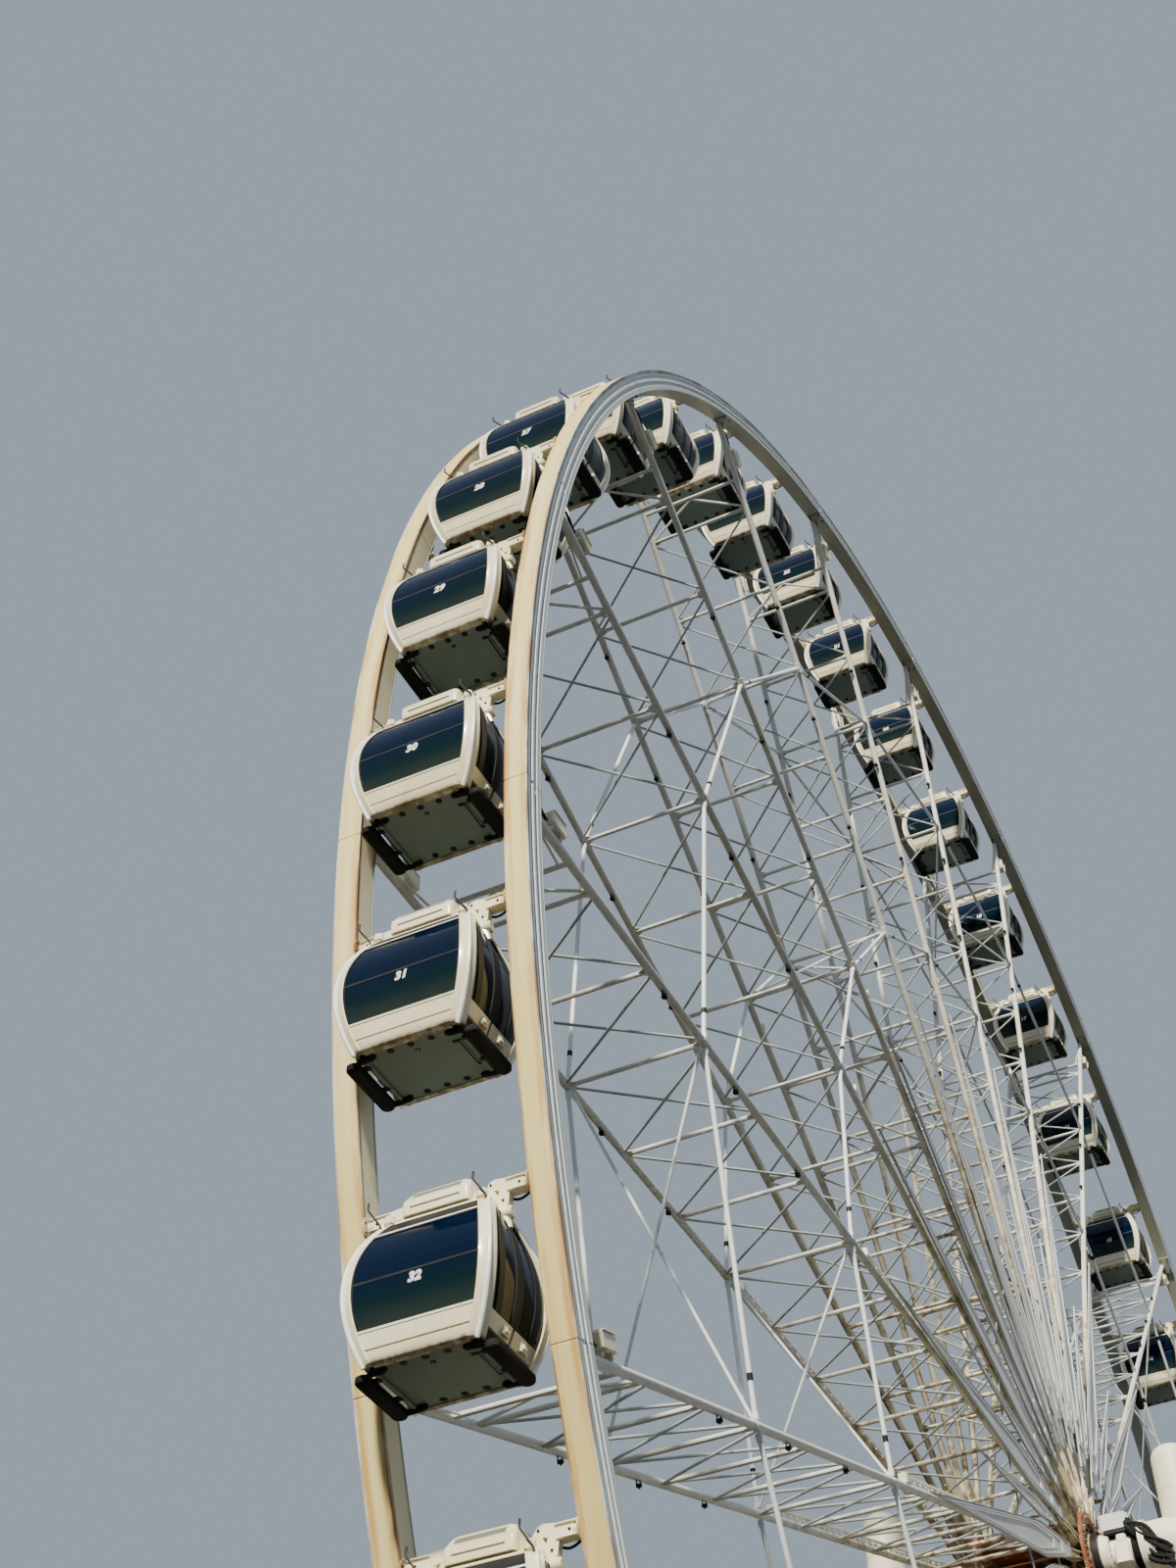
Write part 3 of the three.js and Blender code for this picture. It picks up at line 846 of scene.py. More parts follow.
def makeAxle():
    s = axleSize
    shape = Shape()
    shape.tube([(0, -s["half"], 0), (0, s["half"], 0)], s["radius"], 48)
    for side in (-1, 1):
        # dark seal, bearing ring with its bolts, and the saddle under the lamp box
        shape.turned([(r, side * y) for r, y in s["seal"]], 48, 1)
        shape.turned([(r, side * y) for r, y in s["bearing"]], 48)
        boltCircle(shape, s["bolts"], s["boltRing"], side * 1.60, 0.018, side * 0.03)
        y = side * s["saddle"]
        shape.block((-0.40, y - 0.16, -0.36), (0.40, y + 0.16, 0.10), 0.04)
        shape.block((-0.34, y - 0.10, 0.10), (0.34, y + 0.10, 0.30), 0.03)
    finishedPiece("axleTube", shape, ["tower", "steel"], "supports", ["axle"])


makeHub()
makeStarPlates()
makeAxle()
print("hub made")


# Towers

towerSize = {
    "offset": 3.1, "lowRadius": 0.43, "topRadius": 0.4, "below": 1.9, "above": 1.67, "dome": 0.3,
    "sides": 48, "seam": 0.95, "seamHalf": 0.012, "seamDepth": 0.008, "boss": 0.5, "bossEnd": 2.2,
    "collar": 0.05, "collarEnd": 0.14, "bolts": 18, "boltRing": 0.46, "hatchOut": 0.41,
}

legSize = {
    "top": 0.34, "foot": 0.55, "spread": 11.9, "out": 5.5, "sides": 40, "cutLevel": 0.2, "topGap": 0.05,
    "joints": (0.27, 0.52, 0.77), "jointBolts": 20, "flange": 0.12, "flangeThick": 0.06, "plate": 2.6,
    "ribs": 8, "rib": [(0.5, 0.23), (1.0, 0.23), (1.0, 0.32), (0.74, 0.9), (0.5, 0.9)], "ribThick": 0.04,
    "anchors": (-1.15, -0.4, 0.4, 1.15), "anchorRow": 1.15,
}


def headRadius(z):
    t = towerSize
    return mix(t["lowRadius"], t["topRadius"], (z + t["below"]) / (t["below"] + t["above"]))


def makeTower(side, sideName):
    t = towerSize
    below, seam, half = t["below"], t["seam"], t["seamHalf"]
    rows = [(0.02, -below), (t["lowRadius"] - 0.03, -below), (t["lowRadius"], 0.03 - below)]
    sunk = headRadius(seam) - t["seamDepth"]
    rows += [(headRadius(seam - half), seam - half), (sunk, seam - 0.004), (sunk, seam + 0.004),
             (headRadius(seam + half), seam + half)]
    for i in range(13):
        rise = math.pi / 2 * i / 12
        radius = max(t["topRadius"] * math.cos(rise) ** 0.8, 0.02)
        rows.append((radius, t["above"] + t["dome"] * math.sin(rise) ** 0.9))
    turns = [2 * math.pi * j / t["sides"] for j in range(t["sides"])]
    shape = Shape()
    shape.place = shifted(0, side * t["offset"], 0)
    shape.loft([[(r * math.cos(a), r * math.sin(a), z) for a in turns] for r, z in rows])
    shape.place = np.eye(4)
    # boss that takes the axle, with its bolted collar
    end, collar = side * (t["bossEnd"] + 0.02), t["boss"] + t["collar"]
    collarEnd = side * (t["bossEnd"] + t["collarEnd"])
    shape.tube([(0, side * t["offset"], 0), (0, end, 0)], t["boss"], 48)
    shape.turned([(0.35, collarEnd), (collar, collarEnd), (collar, end), (0.35, end)], 48)
    boltCircle(shape, t["bolts"], t["boltRing"], side * (t["bossEnd"] + 0.03), 0.022, -side * 0.04)
    # small hatch on the outward side
    out = side * (t["offset"] + t["hatchOut"])
    shape.block((-0.14, out - 0.03, -0.9), (0.14, out + 0.03, -0.3), 0.012)
    node = f"{sideName}_tower_head"
    finishedPiece(sideName + "TowerHead", shape, ["tower", "steel"], "supports", [node])
    for hand, handName in ((-1, "left"), (1, "right")):
        makeLeg(side, sideName, hand, handName)


def makeLeg(side, sideName, hand, handName):
    s = legSize
    shape = Shape()
    foot = Vector((hand * s["spread"], side * s["out"], 0))
    top = Vector((0, side * towerSize["offset"], hubHeight))
    along = (top - foot).normalized()
    length = (top - foot).length
    across = (Vector((0, 1, 0)) - along * along.y).normalized()
    other = along.cross(across)

    def radiusAt(d):
        return mix(s["foot"], s["top"], d / length)

    def around(d, radius, i, count):
        a = 2 * math.pi * i / count
        return foot + along * d + (across * math.cos(a) + other * math.sin(a)) * radius

    # the foot of the tube is cut level inside its base plate
    stations = (0.6, 1.2, length - s["topGap"])
    rings = [[around(d, radiusAt(d), i, s["sides"]) for i in range(s["sides"])] for d in stations]
    rings[0] = [point - along * ((point.z - s["cutLevel"]) / along.z) for point in rings[0]]
    shape.loft(rings)
    # bolted flanges where the lengths of a leg are joined
    for share in s["joints"]:
        d = length * share
        r, rim = radiusAt(d), radiusAt(d) + s["flange"]
        for gap in (-0.065, 0.005):
            p, q = foot + along * (d + gap), foot + along * (d + gap + s["flangeThick"])
            path = [p, p + along * 0.006, q - along * 0.006, q]
            shape.tube(path, [rim, rim + 0.01, rim + 0.01, rim], s["sides"])
        for i in range(s["jointBolts"]):
            ends = [around(d + reach, r + 0.07, i, s["jointBolts"]) for reach in (-0.1, 0.1)]
            shape.tube(ends, 0.022, 6, 1)
    # base plates, the ribs that stand on them, and the anchor bolts
    for half, low in ((s["plate"] / 2, 0), (s["plate"] * 0.4, 0.12)):
        shape.block((foot.x - half, foot.y - half, low), (foot.x + half, foot.y + half, low + 0.12), 0.02)
    for i in range(s["ribs"]):
        a = 2 * math.pi * (i + 0.5) / s["ribs"]
        out = Vector((math.cos(a), math.sin(a), 0))
        flat = Vector((-out.y, out.x, 0)) * s["ribThick"] / 2
        shape.prism([foot + out * r + Vector((0, 0, z)) - flat for r, z in s["rib"]], flat * 2)
    for x in s["anchors"]:
        for y in (-s["anchorRow"], s["anchorRow"]):
            for a, b in ((x, y), (y, x)):
                shape.disc((foot.x + a, foot.y + b, 0.12), 0.05, 0.05, "z", 6, 0.008, 1)
                shape.disc((foot.x + a, foot.y + b, 0.17), 0.026, 0.06, "z", 10, 0.005, 1)
    name, node = sideName + handName.capitalize() + "Leg", f"{sideName}_{handName}_leg"
    finishedPiece(name, shape, ["tower", "steel"], "supports", [node], (0, 0, 0))


# the lamp box as (low corner, high corner, bevel, mark) rows, and the cables that leave it
hubLampBox = [((-0.36, -2.04, 0.34), (0.36, -1.48, 0.72), 0.03, 0),
              ((-0.32, -2.07, 0.38), (0.32, -2.03, 0.68), 0.01, 0),
              ((-0.39, -1.98, 0.36), (-0.35, -1.54, 0.70), 0.01, 0),
              # painted shade: the last row is a black bar that fills the dark gap between the lamp box and
              # the saddle
              ((-0.38, -2.0, 0.29), (0.38, -1.54, 0.35), 0.01, 1)]
hubCables = {"count": 13, "steps": 16, "thin": 0.030, "thicker": 0.006, "from": (-0.30, -2.02, 0.58),
             "to": (-0.36, -2.80, -0.62), "wound": 5, "woundFrom": -2.06, "woundRadius": 0.35,
             "woundThick": 0.024, "woundStep": 0.045}


def makeHubEquipment():
    lamp = Shape()
    for low, high, bevel, mark in hubLampBox:
        lamp.block(low, high, bevel, mark)
    finishedPiece("hubLampBox", lamp, ["plate", "steel"], "supports")
    s = hubCables
    start, end, count = s["from"], s["to"], s["count"]
    cables = Shape()
    for i in range(count):
        # each cable leaves the lamp box, sags in front of the axle and climbs on to the tower head
        spread = (i * 5 % count) / (count - 1)
        drop = 0.10 + 0.34 * (i * 7 % count) / (count - 1)
        path = []
        for j in range(s["steps"] + 1):
            t = j / s["steps"]
            bow = math.sin(math.pi * t)
            x = mix(start[0], end[0], t) - 0.14 * bow * spread - 0.06 * spread
            y = mix(start[1], end[1], t) + 0.05 * math.sin(7 * t + i)
            z = mix(start[2] - 0.16 * spread, end[2] + 0.4 * spread, t) + (0.30 * spread - drop) * bow
            path.append((x, y, z))
        cables.tube(path, s["thin"] + s["thicker"] * (i % 4), 8)
    # rings of cable wound on the axle
    radius = s["woundRadius"]
    turns = np.linspace(0, 2 * math.pi, 24, endpoint=False)
    for i in range(s["wound"]):
        y = s["woundFrom"] - s["woundStep"] * i
        ring = [(radius * math.cos(a), y, radius * math.sin(a)) for a in turns]
        cables.tube(ring, s["woundThick"], 6, 0, True)
    finishedPiece("hubCables", cables, ["rubber"], "supports")


makeTower(-1, "front")
makeTower(1, "rear")
makeHubEquipment()
print("towers made")


# Cabins: x is along the rim, y along the axle, z up from the pivot

cabinSize = {
    "top": -0.242, "bottom": -2.117, "crown": 0.028, "band": 0.125, "endBand": 0.14, "inset": 0.014,
    "tubeRadius": 0.027, "gutter": -0.54, "split": -1.19, "glassEnd": -1.75, "seam": -1.95,
    "sillEnd": -2.07, "plate": -2.086, "endTop": -0.33, "endGlass": -1.765, "endSill": -1.946,
    "glassThick": 0.012, "lengths": (0.707, -0.055, -0.288, -0.081), "widths": (0.893, -0.015, -0.234),
    # shares of the width between the corner bands that the posts and the panes of an end take
    "endPosts": [(-0.83, -0.62), (-0.15, 0.15), (0.62, 0.83)],
    "endPanes": [(-1, -0.83), (-0.62, -0.15), (0.15, 0.62), (0.83, 1)],
    "roof": [(-0.275, 0.05), (-0.275, 0.004), (-0.255, -0.008), (-0.225, 0.0), (-0.20, 0.03),
             (-0.185, 0.10), (-0.178, 0.2)],
    "latches": (-0.15, 0.25),
}


def bulge(z, factors):
    # half of the body's length or width at a height, as powers of the height's share from -1 to 1
    s = 2 * (z - cabinSize["bottom"]) / (cabinSize["top"] - cabinSize["bottom"]) - 1
    return sum(factor * s ** power for power, factor in enumerate(factors))


def halfLength(z):
    return bulge(z, cabinSize["lengths"])


def halfWidth(z):
    return bulge(z, cabinSize["widths"])


def heights(low, high, step=0.085):
    count = max(2, int(math.ceil((high - low) / step)) + 1)
    return [mix(low, high, i / (count - 1)) for i in range(count)]


def sidePanel(shape, hand, low, high, inset, thick, mark, margin):
    # slab on a long face (+X or -X), between heights; margin is how far it stays from the corners
    rings = []
    for z in heights(low, high):
        x, y = halfLength(z) + cabinSize["crown"] - inset, halfWidth(z) - margin
        a, b = hand * x, hand * (x - thick)
        rings.append([(a, -y, z), (a, y, z), (b, y, z), (b, -y, z)])
    shape.loft(rings, mark)


def endPanel(shape, side, low, high, inset, thick, mark, left=-1, right=1):
    # slab on an end face, from left to right as shares of the width between the corner bands
    rings = []
    for z in heights(low, high):
        x, y = halfLength(z) - cabinSize["endBand"], halfWidth(z) - inset
        a, b, near, far = left * x, right * x, side * y, side * (y - thick)
        rings.append([(a, near, z), (b, near, z), (b, far, z), (a, far, z)])
    shape.loft(rings, mark)


def roundedRing(x, y, z, radius, steps=5):
    ring = []
    for cx, cy, start in ((x - radius, y - radius, 0), (-x + radius, y - radius, 90),
                          (-x + radius, -y + radius, 180), (x - radius, -y + radius, 270)):
        for i in range(steps + 1):
            a = math.radians(start + 90 * i / steps)
            ring.append((cx + radius * math.cos(a), cy + radius * math.sin(a), z))
    return ring


def cornerHoop(shape, hand, side):
    # a band on each face, and the light tube in the groove between them
    c = cabinSize
    rings = []
    for z in heights(c["sillEnd"] - 0.015, c["top"] + 0.02, 0.06):
        x, y, f, e, band = halfLength(z), halfWidth(z), c["crown"], c["endBand"], c["band"]
        ring = [(x + f, y - band), (x + f + 0.007, y - band + 0.012), (x + 0.012, y - 0.048),
                (x, y - 0.034), (x - 0.016, y - 0.034), (x - 0.036, y - 0.018), (x - 0.036, y - 0.002),
                (x - 0.050, y + 0.004), (x - e + 0.012, y + 0.014), (x - e, y + 0.006), (x - e, y - 0.045),
                (x - 0.06, y - 0.06), (x - 0.045, y - band)]
        rings.append([(hand * a, side * b, z) for a, b in ring])
    shape.loft(rings)
    levels = heights(c["bottom"] + 0.01, c["top"], 0.06)
    path = [(hand * (halfLength(z) - 0.006), side * (halfWidth(z) - 0.009), z) for z in levels]
    shape.tube(path, c["tubeRadius"], 10, 1)
    # knob where the hoop runs over the edge of the roof
    x, y = hand * 0.30, side * 0.58
    shape.block((x - 0.06, y - 0.065, -0.27), (x + 0.06, y + 0.065, -0.12), 0.035, 0, 0.8)


def cabinShellShape():
    # marks: 0 cream paint, 1 light tube, 2 grille, 3 black steel
    c = cabinSize
    band, seam, sillEnd = c["band"], c["seam"], c["sillEnd"]
    shape = Shape()
    for hand in (-1, 1):
        for side in (-1, 1):
            cornerHoop(shape, hand, side)
    for hand in (-1, 1):
        sidePanel(shape, hand, seam + 0.008, c["glassEnd"] - 0.004, 0.0, 0.04, 0, band)
        sidePanel(shape, hand, c["glassEnd"] - 0.02, c["glassEnd"] + 0.006, -0.007, 0.03, 0, band)
        # sill, rolled in at its lower edge
        rings = []
        for z, inset in ((sillEnd - 0.03, 0.07), (sillEnd - 0.028, 0.04), (sillEnd - 0.018, 0.014),
                         (sillEnd, 0.0), (seam - 0.012, 0.0)):
            x, y = halfLength(z) + c["crown"], halfWidth(z) - band + 0.01
            a, b = hand * (x - inset), hand * (x - 0.095)
            rings.append([(a, -y, z), (a, y, z), (b, y, z), (b, -y, z)])
        shape.loft(rings)
    for side in (-1, 1):
        for left, right in ((-1, -0.045), (0.045, 1)):
            endPanel(shape, side, c["endSill"], c["endGlass"] - 0.008, 0.0, 0.045, 0, left, right)
        endPanel(shape, side, c["endTop"] + 0.008, c["top"] + 0.01, 0.0, 0.05, 0)
        y = side * halfWidth(-1.86)
        for x in c["latches"]:
            shape.block((x - 0.07, y - 0.02, -1.93), (x + 0.07, y + 0.02, -1.80), 0.012)
            out = y + side * 0.02
            shape.block((x - 0.045, out - 0.02, -1.90), (x + 0.03, out + 0.02, -1.83), 0.01)
            shape.disc((x + 0.045, y + side * 0.018, -1.825), 0.014, side * 0.014, "y", 8, 0.003, 3)
    # roof: a crowned lid with a rolled edge
    x, y = halfLength(-0.26), halfWidth(-0.26)
    shape.loft([roundedRing(x - inset, y - inset, z, 0.05, 3) for z, inset in c["roof"]])
    coolerShape(shape)
    for side in (-1, 1):
        hangerShape(shape, side)
    return shape


# hood as (height, half length, half width, corner radius) rows
coolerSize = {
    "hood": [(-0.20, 0.33, 0.42, 0.05), (-0.06, 0.34, 0.43, 0.06), (-0.02, 0.335, 0.425, 0.06),
             (0.0, 0.32, 0.42, 0.06), (0.09, 0.26, 0.395, 0.07), (0.13, 0.225, 0.375, 0.08),
             (0.15, 0.19, 0.34, 0.08), (0.157, 0.13, 0.29, 0.08)],
    "slots": 5, "slotFrom": (0.318, 0.008), "slotTo": (0.262, 0.09), "slotReach": 0.30,
}


def coolerShape(shape):
    # roof unit: smooth hood with slanted long sides, slots in them and a ridge below
    s = coolerSize
    shape.loft([roundedRing(x, y, z, r) for z, x, y, r in s["hood"]])
    for hand in (-1, 1):
        lean = (hand * 0.09, 0, 0.06)
        eave, ridge = hand * 0.327, hand * 0.342
        shape.strip([(eave, -0.34, -0.012), (eave, 0.34, -0.012)], 0.03, 0.02, 0.008, 0, lean)
        shape.strip([(ridge, -0.31, -0.10), (ridge, 0.31, -0.10)], 0.02, 0.035, 0.008)
        for i in range(s["slots"]):
            t = (i + 0.5) / s["slots"]
            x, z = (mix(low, high, t) for low, high in zip(s["slotFrom"], s["slotTo"]))
            ends = [(hand * x, -s["slotReach"], z), (hand * x, s["slotReach"], z)]
            shape.strip(ends, 0.010, 0.007, 0.002, 2, lean)
    for side in (-1, 1):
        shape.block((-0.2, side * 0.428 - 0.01, -0.16), (0.2, side * 0.428 + 0.01, -0.04), 0.006)


# the plate's outline and its hole as (y, z) pairs
hangerSize = {
    "outer": [(0.45, -0.02), (0.53, 0.115), (0.60, 0.135), (0.80, 0.108), (0.95, 0.09), (0.95, -0.05),
              (0.78, -0.06), (0.765, -0.22), (0.70, -0.33), (0.45, -0.24)],
    "hole": [(0.595, -0.024), (0.586, -0.007), (0.609, -0.012), (0.643, -0.020), (0.654, -0.022),
             (0.651, -0.032), (0.648, -0.043), (0.640, -0.068), (0.633, -0.093), (0.613, -0.057)],
    "half": 0.05, "bolts": ((0.545, 0.07), (0.70, -0.17), (0.63, -0.22), (0.90, 0.015)),
    "boltFaces": (-0.062, 0.05),
}


def hangerShape(shape, side):
    # gusset plate with a triangular hole, the arm to the rim, and the damper drum below
    s = hangerSize
    half = s["half"]
    rings = []
    for (a, b), (c, d) in zip(s["outer"], s["hole"]):
        rings.append([(-half, side * a, b), (half, side * a, b), (half, side * c, d), (-half, side * c, d)])
    shape.loft(rings, loop=True)
    for y, reach, low, high in ((0.865, 0.135, 0.082, 0.104), (0.875, 0.125, -0.072, -0.05)):
        shape.block((-0.075, side * y - reach, low), (0.075, side * y + reach, high), 0.006)
    shape.block((-0.16, side * 0.52 - 0.12, -0.27), (0.16, side * 0.52 + 0.12, -0.17), 0.02)
    shape.disc((0, side * 0.64, -0.317), 0.078, side * 0.16, "y", 20, 0.016)
    spout = [(0, side * 0.70, -0.36), (0, side * 0.735, -0.44), (0, side * 0.765, -0.52)]
    shape.tube(spout, [0.06, 0.045, 0.03], 10)
    shape.tube([(0, side * 0.93, 0.015), (0, side * 1.016, 0.015)], 0.064, 20)
    for x in s["boltFaces"]:
        for y, z in s["bolts"]:
            shape.disc((x, side * y, z), 0.016, 0.012, "x", 6, 0, 3)


def cabinGlazingShape():
    c = cabinSize
    inset, thick = c["inset"], c["glassThick"]
    shape = Shape()
    for hand in (-1, 1):
        for low, high in ((c["split"] + 0.012, c["gutter"]), (c["glassEnd"] - 0.005, c["split"] - 0.012)):
            sidePanel(shape, hand, low, high, inset, thick, 0, c["band"])
    for side in (-1, 1):
        for left, right in c["endPanes"]:
            endPanel(shape, side, c["endGlass"], c["endTop"], inset + 0.004, thick, 0, left, right)
    return shape


def cabinFittingShape():
    # marks: 0 black steel, 1 underside grey, 2 rubber, 3 painted highlight line, 4 seat, 5 number, 6 cream
    # knob
    c = cabinSize
    band, inset = c["band"], c["inset"]
    shape = Shape()
    for hand in (-1, 1):
        sidePanel(shape, hand, c["gutter"], -0.28, inset - 0.008, 0.03, 0, band - 0.01)
        # painted highlight: a pale, faintly glowing line along the black gutter stands in for light caught on
        # its edge
        sidePanel(shape, hand, c["gutter"] + 0.03, c["gutter"] + 0.065, inset - 0.014, 0.02, 3, band)
        sidePanel(shape, hand, c["split"] - 0.014, c["split"] + 0.014, inset - 0.004, 0.022, 0, band)
        sidePanel(shape, hand, c["seam"] - 0.016, c["seam"] + 0.012, 0.02, 0.03, 0, band - 0.02)
        # sealing strips beside the hoops
        for side in (-1, 1):
            rings = []
            for z in heights(c["glassEnd"], c["gutter"]):
                x, y = halfLength(z) + c["crown"] - inset + 0.006, halfWidth(z) - band
                a, b, near, far = hand * x, hand * (x - 0.026), side * y, side * (y - 0.02)
                rings.append([(a, near, z), (a, far, z), (b, far, z), (b, near, z)])
            shape.loft(rings)
    for side in (-1, 1):
        for left, right in c["endPosts"]:
            endPanel(shape, side, c["endGlass"], c["endTop"], inset - 0.012, 0.06, 0, left, right)
        endPanel(shape, side, c["endTop"] - 0.012, c["endTop"] + 0.012, inset - 0.008, 0.04, 0)
        endPanel(shape, side, c["endGlass"] - 0.012, c["endGlass"] + 0.012, inset - 0.006, 0.04, 0)
        endPanel(shape, side, c["endSill"] + 0.01, c["endGlass"], 0.02, 0.03, 0, -0.06, 0.06)
        endPanel(shape, side, c["bottom"] + 0.03, c["endSill"], 0.03, 0.04, 0)
        bumper(shape, side)
        # thin black rod at the corner of the roof
        y = side * 0.66
        rod = [(-0.36, y, -0.30), (-0.36, y + 0.02, -0.24), (-0.37, y + 0.16, -0.03), (-0.37, y + 0.17, 0.0),
               (-0.37, y + 0.165, 0.08)]
        shape.tube(rod, 0.013, 6)
        # cable slung under the hanger arm
        shares = [i / 8 for i in range(9)]
        path = [(0.06, side * mix(0.70, 1.0, t), -0.065 - 0.07 * math.sin(math.pi * t)) for t in shares]
        shape.tube(path, 0.016, 6, 2)
        seat(shape, side)
    undersideShape(shape)
    return shape


bumperSize = {"half": (0.465, 0.09), "middle": 0.765, "corner": 0.075, "armReach": 0.44,
              "brackets": (-0.30, 0.14),
              "rows": [(-2.205, 0.03), (-2.195, 0.012), (-2.175, 0.0), (-2.115, 0.0), (-2.095, 0.02)]}


def bumper(shape, side):
    # padded bar across each end of the floor, held by arms and brackets that leave a gap behind it
    s = bumperSize
    rings = []
    for z, inset in s["rows"]:
        ring = roundedRing(s["half"][0] - inset, s["half"][1] - inset, z, s["corner"] - inset * 0.5, 4)
        rings.append([(x, y + side * s["middle"], z) for x, y, z in ring])
    shape.loft(rings, 2)
    for x in (-s["armReach"], s["armReach"]):
        arm = [(x, side * 0.46, -2.095), (x, side * 0.50, -2.115), (x, side * 0.64, -2.125),
               (x * 0.96, side * 0.74, -2.14)]
        shape.tube(arm, [0.030, 0.036, 0.036, 0.03], 10, 2)
    shape.block((-0.43, side * 0.60 - 0.025, -2.125), (0.43, side * 0.60 + 0.025, -2.06), 0.008, 1)
    for x in s["brackets"]:
        shape.block((x - 0.035, side * 0.65 - 0.06, -2.14), (x + 0.035, side * 0.65 + 0.06, -2.10), 0.01)


undersideSize = {"half": (0.54, 0.58), "lidRow": 0.43, "lids": (-0.262, 0, 0.262), "lidRadius": 0.044,
                 "knob": (-0.30, -0.02)}


def undersideShape(shape):
    s = undersideSize
    plate = cabinSize["plate"]
    rows = ((plate, 0.02), (plate + 0.01, 0.0), (plate + 0.05, 0.0))
    shape.loft([roundedRing(s["half"][0] - inset, s["half"][1] - inset, z, 0.03, 2) for z, inset in rows], 1)
    for hand in (-1, 1):
        for y in s["lids"]:
            shape.disc((hand * s["lidRow"], y, plate + 0.004), s["lidRadius"], -0.008, "z", 20, 0.002)
    # slot and rail at one end, and a small knob
    shape.block((-0.26, -0.565, plate - 0.008), (0.26, -0.505, plate + 0.004), 0.005)
    shape.block((-0.27, -0.51, plate - 0.008), (-0.22, -0.44, plate + 0.004), 0.005)
    shape.block((-0.25, -0.555, plate - 0.02), (0.20, -0.535, plate - 0.004), 0.005, 1)
    shape.disc((*s["knob"], plate + 0.004), 0.032, -0.01, "z", 16, 0.003)
    shape.disc((*s["knob"], plate - 0.004), 0.014, -0.018, "z", 12, 0.008, 6)


def seat(shape, side):
    # bench across one end, seen only dimly through the glass
    y = side * 0.52
    shape.block((-0.5, y - 0.18, -1.66), (0.5, y + 0.18, -1.58), 0.03, 4)
    shape.block((-0.5, side * 0.71 - 0.03, -1.60), (0.5, side * 0.71 + 0.03, -1.05), 0.025, 4)
    shape.block((-0.46, y - 0.12, -2.05), (0.46, y + 0.12, -1.66), 0.02, 4)


numberSize = {"size": 0.155, "shear": 0.2, "offset": 0.009, "space_character": 1.05, "resolution_u": 3,
              "align_x": "CENTER", "align_y": "CENTER"}
numberLevel = -1.29
numberThick = 0.004


def digitShape(number):
    # the cabin's own number, slanted, on both long faces just below the split line
    text = bpy.data.curves.new("cabinNumber", "FONT")
    text.body = str(number)
    for key, value in numberSize.items():
        setattr(text, key, value)
    holder = bpy.data.objects.new("cabinNumber", text)
    flat = bpy.data.meshes.new_from_object(holder)
    work = bmesh.new()
    work.from_mesh(flat)
    bmesh.ops.triangulate(work, faces=work.faces)
    made = bmesh.ops.extrude_face_region(work, geom=work.faces)
    lifted = [item for item in made["geom"] if isinstance(item, bmesh.types.BMVert)]
    bmesh.ops.translate(work, verts=lifted, vec=(0, 0, numberThick))
    work.verts.index_update()
    points = [vertex.co.copy() for vertex in work.verts]
    faces = [tuple(vertex.index for vertex in face.verts) for face in work.faces]
    work.free()
    bpy.data.objects.remove(holder)
    bpy.data.curves.remove(text)
    bpy.data.meshes.remove(flat)
    shape = Shape()
    for hand in (-1, 1):
        placed = []
        for p in points:
            z = numberLevel + p.y
            x = halfLength(z) + cabinSize["crown"] - cabinSize["inset"] - 0.001 + p.z
            placed.append((hand * x, hand * p.x, z))
        shape.add(placed, faces, 5)
    return shape


def makeCabins():
    shell = finishedMesh("cabinShell", cabinShellShape(), ["cabin", "tube", "grille", "steel"])
    glazing = finishedMesh("cabinGlazing", cabinGlazingShape(), ["glass"])
    fittings = cabinFittingShape()
    # the fourth finish, strip, makes the painted highlight line on the gutter glow faintly
    fittingKeys = ["steel", "underside", "rubber", "strip", "seat", "digit", "cabin"]
    for number in range(1, cabinCount + 1):
        angle = cabinAngle(number)
        pivot = hubPoint + Vector((pivotRadius * math.cos(angle), 0, pivotRadius * math.sin(angle)))
        fitted = Shape()
        fitted.take(fittings)
        fitted.take(digitShape(number))
        node = f"cabin_{number:02d}"
        for kind, mesh, slot, replaced in (
            ("cabinShell", shell.copy(), "cabin_paint", [node]),
            ("cabinGlazing", glazing.copy(), "tinted_glass", []),
            ("cabinFittings", finishedMesh("cabinFittings", fitted, fittingKeys), "black_steel", []),
        ):
            # the seed moves the dirt, so that no two cabins carry the same
            seed = mesh.attributes.new("seed", "FLOAT", "POINT")
            seed.data.foreach_set("value", [3.7 * number] * len(mesh.vertices))
            makePiece(f"{kind}_{number:02d}", mesh, node, pivot, replaced)


makeCabins()
print("cabins made:", cabinCount)


# Floor, light and camera

stageSize = {"half": 500, "riseFrom": -0.3, "riseTo": 0.05, "below": (0.05, 0.052, 0.05),
             "above": (0.34, 0.40, 0.47)}
keySun = {"direction": (-0.76, -0.14, 0.64), "strength": 8.2, "colour": (1.0, 0.94, 0.79), "angle": 3}
cameraPlace = {"lens": 50.59, "sensor": 36, "reach": 1000, "fromHub": (-42.436, -10.244, -19.380),
               "turn": (134.408, 1.342, -63.918)}


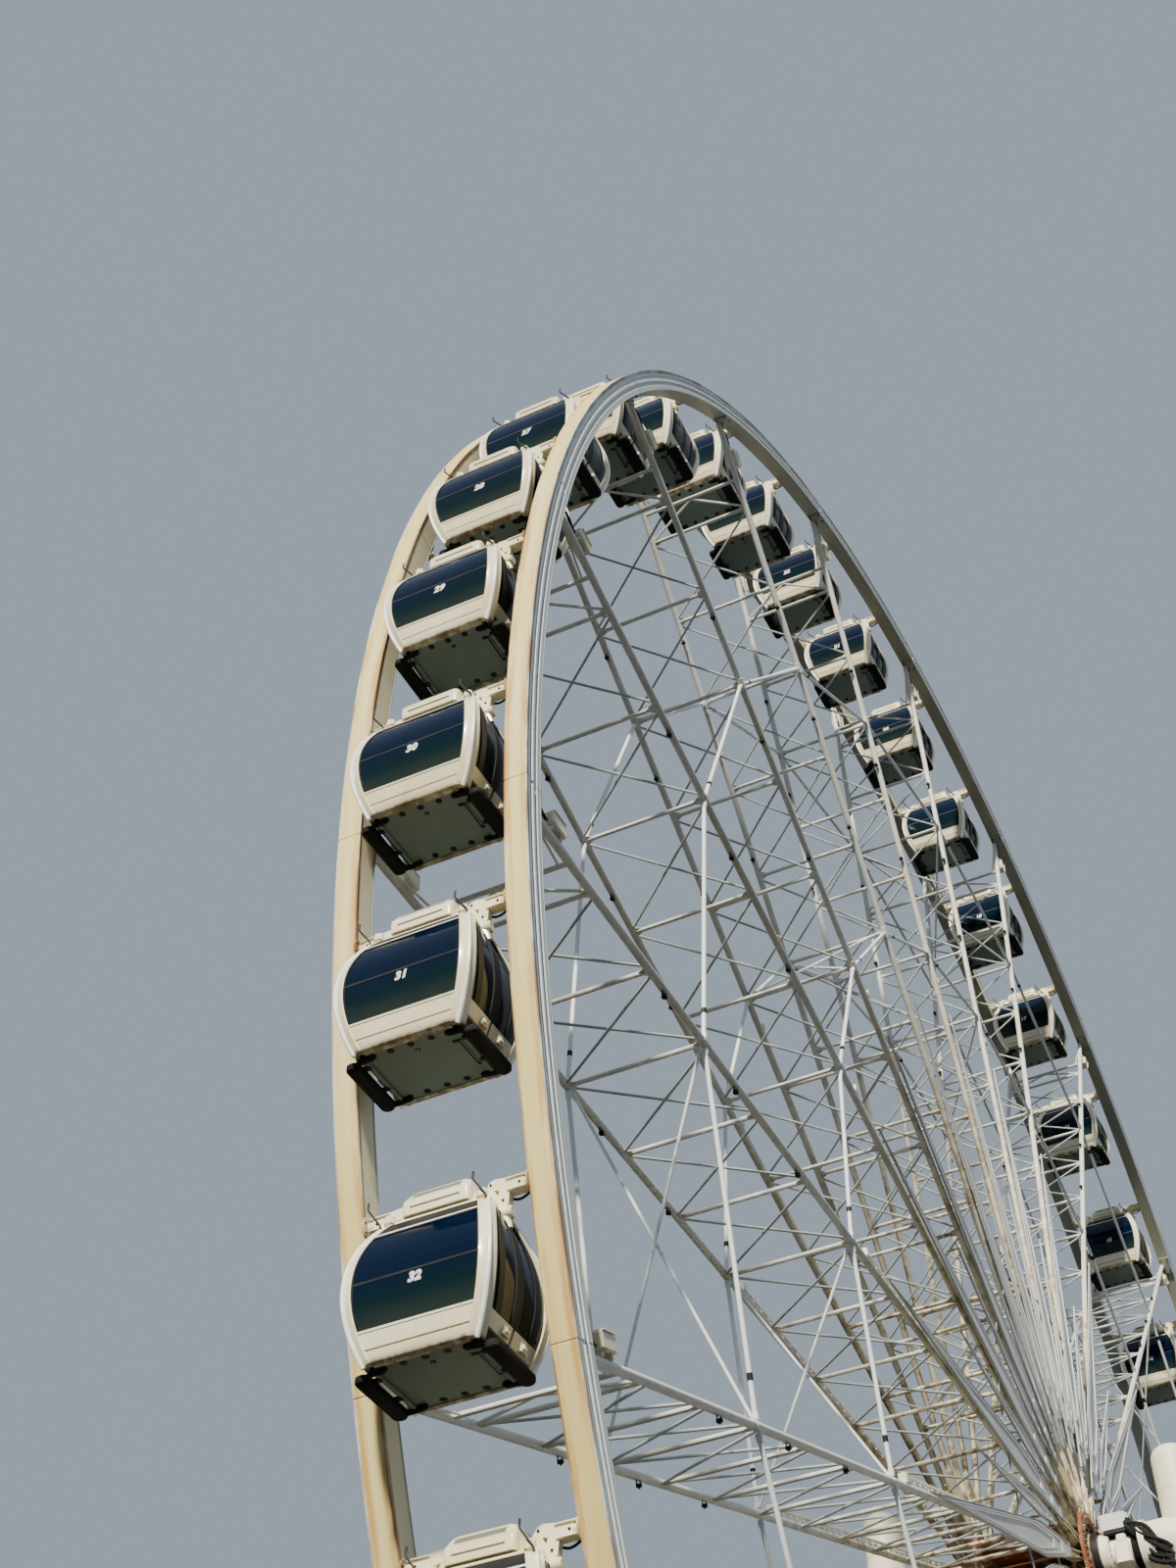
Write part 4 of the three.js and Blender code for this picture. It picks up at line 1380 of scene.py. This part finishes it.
def makeFloor():
    half = stageSize["half"]
    corners = [(-half, -half, 0), (half, -half, 0), (half, half, 0), (-half, half, 0)]
    mesh = bpy.data.meshes.new("studioFloor")
    mesh.from_pydata(corners, [], [(0, 1, 2, 3)])
    mesh.materials.append(finishes["floor"])
    floor = bpy.data.objects.new("studioFloor", mesh)
    bpy.context.scene.collection.objects.link(floor)
    floor.visible_diffuse = False
    floor.visible_glossy = False


def makeWorld():
    # soft light from above and round the horizon, little from below
    world = bpy.data.worlds.new("studioWorld")
    bpy.context.scene.world = world
    world.use_nodes = True
    nodes, links = world.node_tree.nodes, world.node_tree.links
    place = nodes.new("ShaderNodeTexCoord")
    split = nodes.new("ShaderNodeSeparateXYZ")
    rise = nodes.new("ShaderNodeMapRange")
    rise.interpolation_type = "SMOOTHSTEP"
    rise.inputs["From Min"].default_value = stageSize["riseFrom"]
    rise.inputs["From Max"].default_value = stageSize["riseTo"]
    blend = nodes.new("ShaderNodeMix")
    blend.data_type = "RGBA"
    blend.inputs[6].default_value = (*stageSize["below"], 1)
    blend.inputs[7].default_value = (*stageSize["above"], 1)
    links.new(place.outputs["Generated"], split.inputs[0])
    links.new(split.outputs["Z"], rise.inputs["Value"])
    links.new(rise.outputs[0], blend.inputs[0])
    links.new(blend.outputs[2], nodes["Background"].inputs["Color"])


def makeSun():
    light = bpy.data.lights.new("keySun", "SUN")
    light.energy = keySun["strength"]
    light.color = keySun["colour"]
    light.angle = math.radians(keySun["angle"])
    lamp = bpy.data.objects.new("keySun", light)
    lamp.rotation_mode = "QUATERNION"
    lamp.rotation_quaternion = Vector(keySun["direction"]).to_track_quat("Z", "Y")
    bpy.context.scene.collection.objects.link(lamp)


def makeCamera():
    # place and turn of the camera fitted to the photograph, its picture 1200 by 1600
    s = cameraPlace
    camera = bpy.data.cameras.new("camera")
    camera.sensor_fit = "VERTICAL"
    camera.sensor_height = s["sensor"]
    camera.sensor_width = s["sensor"]
    camera.lens = s["lens"]
    camera.clip_end = s["reach"]
    holder = bpy.data.objects.new("camera", camera)
    holder.location = hubPoint * modelScale + Vector(s["fromHub"]) * modelScale
    holder.rotation_euler = [math.radians(a) for a in s["turn"]]
    bpy.context.scene.collection.objects.link(holder)
    bpy.context.scene.camera = holder


makeFloor()
makeWorld()
makeSun()
makeCamera()
print("stage made")
